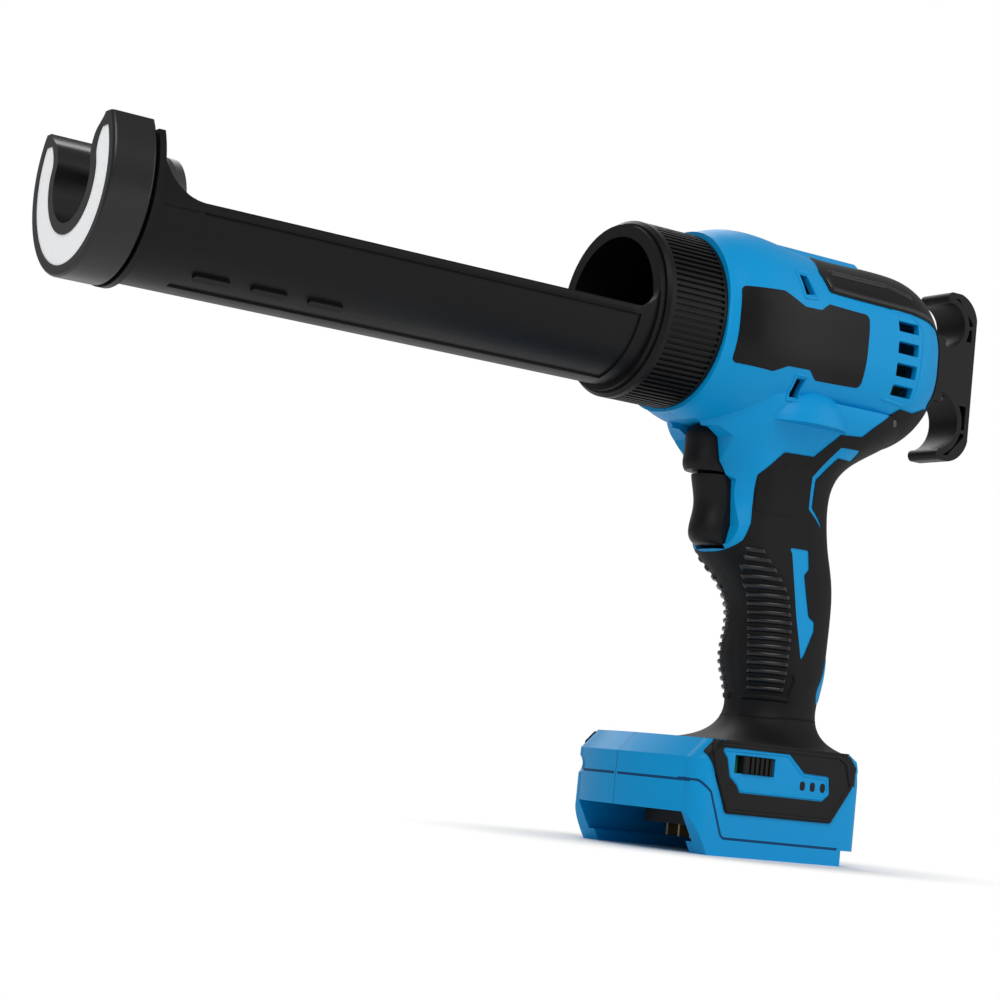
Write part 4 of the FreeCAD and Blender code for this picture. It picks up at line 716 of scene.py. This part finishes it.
class CAULK_OT_grip_ribs(bpy.types.Operator):
    """Moulded ribs on the sides and the heel of the grip."""

    bl_idname = "caulk.grip_ribs"
    bl_label = "Grip ribs"

    def execute(self, context):
        """Long ribs lie on each side, and their ends step in and out; fine serrations cross the heel."""
        relief = context.scene.caulk_relief
        heights = relief.rib_top - relief.rib_pitch * np.arange(relief.rib_count)
        share = np.linspace(0.0, 1.0, relief.rib_count)
        inset, reach = np.interp(share, *RIB_INSET), np.interp(share, *RIB_REACH)
        first, last = (np.full(len(HEEL_ROWS), angle) for angle in HEEL_ARC)
        for name, side in SIDES:
            node = "grip_cover_" + name
            shells = wrapped(heights, math.pi - inset, math.pi - reach, side, node,
                             relief.rib_half, relief.rib_height, shot=True)
            shells += wrapped(HEEL_ROWS, first, last, side, node,
                              HEEL_HALF, HEEL_SHARE * relief.rib_height, steps=12)
            piece("grip_ribs_" + name, shells, "rib_black")
        return {"FINISHED"}


class CAULK_OT_grip_marks(bpy.types.Operator):
    """Raised pad under the thumb, bar below the ribs, seam round the neck, heel inlay and rear stud."""

    bl_idname = "caulk.grip_marks"
    bl_label = "Grip marks"

    def execute(self, context):
        """The pad and inlay lie between two lines, the bar follows a bent line, and the seam goes round."""
        seam_bead = context.scene.caulk_relief.line_half, SEAM_HEIGHT
        for name, side in SIDES:
            cover = ["grip_cover_" + name]
            thumb = pad(GRIP_PAD_TOP, GRIP_PAD_FOOT, GRIP_PAD_HEIGHT, cover, side)
            piece("grip_pad_" + name, [thumb], "grip_black")
            bar = wrapped([BAR_LEVEL], BAR_ARC[:1], BAR_ARC[1:], side, cover[0], *BAR_WRAP_BEAD)
            bent = np.array(GRIP_BAR) - (BAR_SHIFT[name], 0.0)
            bar.append(strip(bent, *BAR_BEAD, cover, "y", side))
            piece("grip_bar_" + name, bar, "grip_black")
            band = wrapped([NECK_LEVEL], NECK_ARC[:1], NECK_ARC[1:], side, cover[0], *seam_bead, steps=60)
            piece("neck_seam_" + name, band, "seam_dark")
            inlay = pad(INLAY_TOP, INLAY_FOOT, INLAY_HEIGHT, cover, side)
            piece("heel_inlay_" + name, [inlay], "housing_blue")
        dome = stud(STUD, *STUD_DOME, ["grip_cover_left"], -1)
        piece("grip_stud", [dome], "dark_steel")
        return {"FINISHED"}


class CAULK_OT_housing_trim(bpy.types.Operator):
    """Frames at the windows with dark sheets of painted shade behind them, beads along the rear cover, and
    the cradle's lip and its dark line of painted shade in the groove under the rim.
    """

    bl_idname = "caulk.housing_trim"
    bl_label = "Housing trim"

    def execute(self, context):
        """Each window's frame is a closed bead, spread a little from the outline to rest on the wall."""
        relief = context.scene.caulk_relief
        high = relief.frame_height
        for name, side in SIDES:
            shells, sheets = [], []
            flank = ["housing_" + name, "side_plate_" + name]
            for outline in WINDOWS:
                corners = np.array(outline)
                middle = corners.mean(0)
                wider = middle + (corners - middle) * WINDOW_SPREAD
                shells.append(strip(wider, FRAME_HALF, high, flank, "y", side, True, FRAME_GAP))
                # A near-black sheet set behind each window is painted shade in the opening
                sheets.append(shade_sheet(wider, flank, side))
            piece("window_baffles_" + name, sheets, "seam_dark")
            shells.append(strip(VENT_BORDER, VENT_HALF, VENT_SHARE * high, flank[:1], "y", side))
            piece("window_frames_" + name, shells, "housing_blue")
            beads = [strip(path, COVER_HALF, high, ["rear_cover"], "y", side) for path in COVER_BEADS]
            piece("cover_beads_" + name, beads, "nose_black")
            cradle = ["cartridge_cradle"]
            # The dark line under the rim is painted shade in the groove there
            line = strip(CRADLE_GROOVE_SHADE, relief.line_half, SEAM_HEIGHT, cradle, "y", side, gap=CRADLE_GAP)
            piece("cradle_line_" + name, [line], "seam_dark", "cradle")
            lip = strip(CRADLE_LIP, *LIP_BEAD, cradle, "y", side, gap=CRADLE_GAP)
            piece("cradle_lip_" + name, [lip], "moulding_black", "cradle")
        return {"FINISHED"}


class CAULK_OT_foot_lines(bpy.types.Operator):
    """Seams round the battery foot, and the beads that frame its panel and bezel."""

    bl_idname = "caulk.foot_lines"
    bl_label = "Foot lines"

    def execute(self, context):
        """A seam crosses the front and steps down along each side; closed beads frame the panel and bezel."""
        seam_bead = FOOT_SEAM_SHARE * context.scene.caulk_relief.line_half, SEAM_HEIGHT
        for name, side in SIDES:
            wall, panel = ["housing_" + name], ["base_panel_" + name]
            # On the right a screw well takes the place of the seam's first stretch
            step = FOOT_STEP if side < 0 else FOOT_STEP[2:]
            front = [(reach * side, FOOT_FRONT_LEVEL) for reach in FOOT_FRONT]
            seam = [strip(step, *seam_bead, wall + panel, "y", side, gap=FOOT_GAP),
                    strip(front, *seam_bead, wall + panel, "x", -1, gap=FOOT_GAP)]
            piece("foot_seam_" + name, seam, "seam_blue")
            bead = strip(PANEL, *PANEL_BEAD, panel + wall, "y", side, True)
            piece("panel_bead_" + name, [bead], "moulding_black")
            rim = [strip(PANEL_TOP, *PANEL_TOP_BEAD, wall, "y", side),
                   pad(CORNER_TOP, CORNER_FOOT, CORNER_HEIGHT, wall, side),
                   ledge(*SHELF, wall[0], side)]
            piece("panel_rim_" + name, rim, "moulding_black")
            bead = strip(BEZEL, *BEZEL_BEAD, ["bezel_" + name] + panel, "y", side, True)
            piece("bezel_bead_" + name, [bead], "housing_blue")
        return {"FINISHED"}


def lamp(name, place, size, power):
    """A square soft lamp that looks at the middle of the tool."""
    light = bpy.data.lights.new(name, "AREA")
    light.size, light.energy = size, power
    made = bpy.data.objects.new(name, light)
    made.location = place
    made.rotation_euler = (Vector(AIM) - Vector(place)).to_track_quat("-Z", "Y").to_euler()
    bpy.context.scene.collection.objects.link(made)


def reckoned(tree, operation, first, second):
    """The result of a math operation on two values."""
    node = tree.nodes.new("ShaderNodeMath")
    node.operation = operation
    tree.links.new(first, node.inputs[0])
    tree.links.new(second, node.inputs[1])
    return node.outputs[0]


def seen_white(tree, lit, white, share=None):
    """White for camera and glass rays, in a share that may change over the surface, and the given light for
    all other rays."""
    path = tree.nodes.new("ShaderNodeLightPath")
    seen = reckoned(tree, "MAXIMUM", path.outputs["Is Camera Ray"], path.outputs["Is Transmission Ray"])
    if share:
        seen = reckoned(tree, "MULTIPLY", seen, share)
    blend = tree.nodes.new("ShaderNodeMixShader")
    for place, source in enumerate((seen, lit, white)):
        tree.links.new(source, blend.inputs[place])
    return blend.outputs[0]


def floor_sheet():
    """A round sheet of rings, closed in the middle."""
    turn = np.linspace(0.0, 2.0 * math.pi, FLOOR_STEPS, endpoint=False)
    x, y = np.outer(FLOOR_RINGS, np.cos(turn)), np.outer(FLOOR_RINGS, np.sin(turn))
    index = np.arange(x.size).reshape(x.shape)
    quads = np.stack([index[:-1], index[1:], np.roll(index[1:], -1, 1), np.roll(index[:-1], -1, 1)], -1)
    mesh = bpy.data.meshes.new("floor")
    mesh.from_pydata(np.stack([x, y, np.zeros(x.shape)], -1).reshape(-1, 3).tolist(), [],
                     quads.reshape(-1, 4).tolist() + [index[0].tolist()])
    return mesh


def floor_finish():
    """A pale floor that catches shadows near the tool and fades to white away from it."""
    pale = bpy.data.materials.new("floor_pale")
    pale.use_nodes = True
    tree = pale.node_tree
    shader = tree.nodes["Principled BSDF"]
    shader.inputs["Base Color"].default_value = (0.93, 0.93, 0.93, 1.0)
    shader.inputs["Roughness"].default_value = 0.7
    shader.inputs["Specular IOR Level"].default_value = 0.1
    glow = tree.nodes.new("ShaderNodeEmission")
    far = tree.nodes.new("ShaderNodeVectorMath")
    far.operation = "LENGTH"
    tree.links.new(tree.nodes.new("ShaderNodeTexCoord").outputs["Object"], far.inputs[0])
    fade = tree.nodes.new("ShaderNodeMapRange")
    fade.interpolation_type = "SMOOTHSTEP"
    fade.inputs["From Min"].default_value, fade.inputs["From Max"].default_value = FLOOR_FADE
    tree.links.new(far.outputs["Value"], fade.inputs["Value"])
    blend = seen_white(tree, shader.outputs[0], glow.outputs[0], fade.outputs["Result"])
    tree.links.new(blend, tree.nodes["Material Output"].inputs["Surface"])
    return pale


class CAULK_OT_stage(bpy.types.Operator):
    """Camera, lamps, pale floor and room light."""

    bl_idname = "caulk.stage"
    bl_label = "Studio"

    def execute(self, context):
        """The camera's three axes come from its yaw, pitch and roll; the floor fades into the white room."""
        stage = context.scene.caulk_stage
        scene = context.scene
        scene.view_settings.view_transform = "Standard"
        sin_y, cos_y = math.sin(stage.yaw), math.cos(stage.yaw)
        ahead = Vector((sin_y * math.cos(stage.pitch), cos_y * math.cos(stage.pitch), math.sin(stage.pitch)))
        level = Vector((cos_y, -sin_y, 0.0))
        above = level.cross(ahead)
        right = level * math.cos(stage.roll) + above * math.sin(stage.roll)
        up = above * math.cos(stage.roll) - level * math.sin(stage.roll)
        camera = bpy.data.cameras.new("camera")
        camera.lens, camera.sensor_width = stage.lens, 36.0
        eye = bpy.data.objects.new("camera", camera)
        eye.matrix_world = Matrix.Translation(stage.eye) @ Matrix((right, up, -ahead)).transposed().to_4x4()
        scene.collection.objects.link(eye)
        scene.camera = eye
        for name, (place, size, power) in LAMPS.items():
            lamp(name, place, size, getattr(stage, power))

        world = bpy.data.worlds.new("room")
        world.use_nodes = True
        scene.world = world
        tree = world.node_tree
        even = tree.nodes["Background"]
        even.inputs["Strength"].default_value = stage.sky
        white = tree.nodes.new("ShaderNodeBackground")
        even.inputs["Color"].default_value = white.inputs["Color"].default_value = (1.0, 1.0, 1.0, 1.0)
        blend = seen_white(tree, even.outputs[0], white.outputs[0])
        tree.links.new(blend, tree.nodes["World Output"].inputs["Surface"])

        floor = bpy.data.objects.new("floor", floor_sheet())
        floor.data.materials.append(floor_finish())
        scene.collection.objects.link(floor)
        return {"FINISHED"}


class CAULK_PT_panel(bpy.types.Panel):
    """Settings and steps in the sidebar."""

    bl_idname = "CAULK_PT_panel"
    bl_label = "Caulking gun"
    bl_space_type = "VIEW_3D"
    bl_region_type = "UI"
    bl_category = "Caulking gun"

    def draw(self, context):
        """One button for each step, then every setting."""
        for step in STEPS:
            self.layout.operator(step.bl_idname)
        for settings in (context.scene.caulk_finish, context.scene.caulk_relief, context.scene.caulk_stage):
            for label in settings.bl_rna.properties.keys():
                if label not in ("rna_type", "name"):
                    self.layout.prop(settings, label)


STEPS = (CAULK_OT_finishes, CAULK_OT_springs, CAULK_OT_grip_ribs, CAULK_OT_grip_marks, CAULK_OT_housing_trim,
         CAULK_OT_foot_lines, CAULK_OT_stage)
CLASSES = (FinishSettings, ReliefSettings, StageSettings) + STEPS + (CAULK_PT_panel,)


def register():
    """Adds the classes, and the settings to the scene."""
    for entry in CLASSES:
        bpy.utils.register_class(entry)
    bpy.types.Scene.caulk_finish = bpy.props.PointerProperty(type=FinishSettings)
    bpy.types.Scene.caulk_relief = bpy.props.PointerProperty(type=ReliefSettings)
    bpy.types.Scene.caulk_stage = bpy.props.PointerProperty(type=StageSettings)


def unregister():
    """Takes the settings and the classes away again."""
    del bpy.types.Scene.caulk_finish, bpy.types.Scene.caulk_relief, bpy.types.Scene.caulk_stage
    for entry in reversed(CLASSES):
        bpy.utils.unregister_class(entry)


def main():
    """Runs every step once."""
    register()
    bpy.ops.caulk.finishes()
    bpy.ops.caulk.springs()
    bpy.ops.caulk.grip_ribs()
    bpy.ops.caulk.grip_marks()
    bpy.ops.caulk.housing_trim()
    bpy.ops.caulk.foot_lines()
    bpy.ops.caulk.stage()


if __name__ == "__main__":
    main()
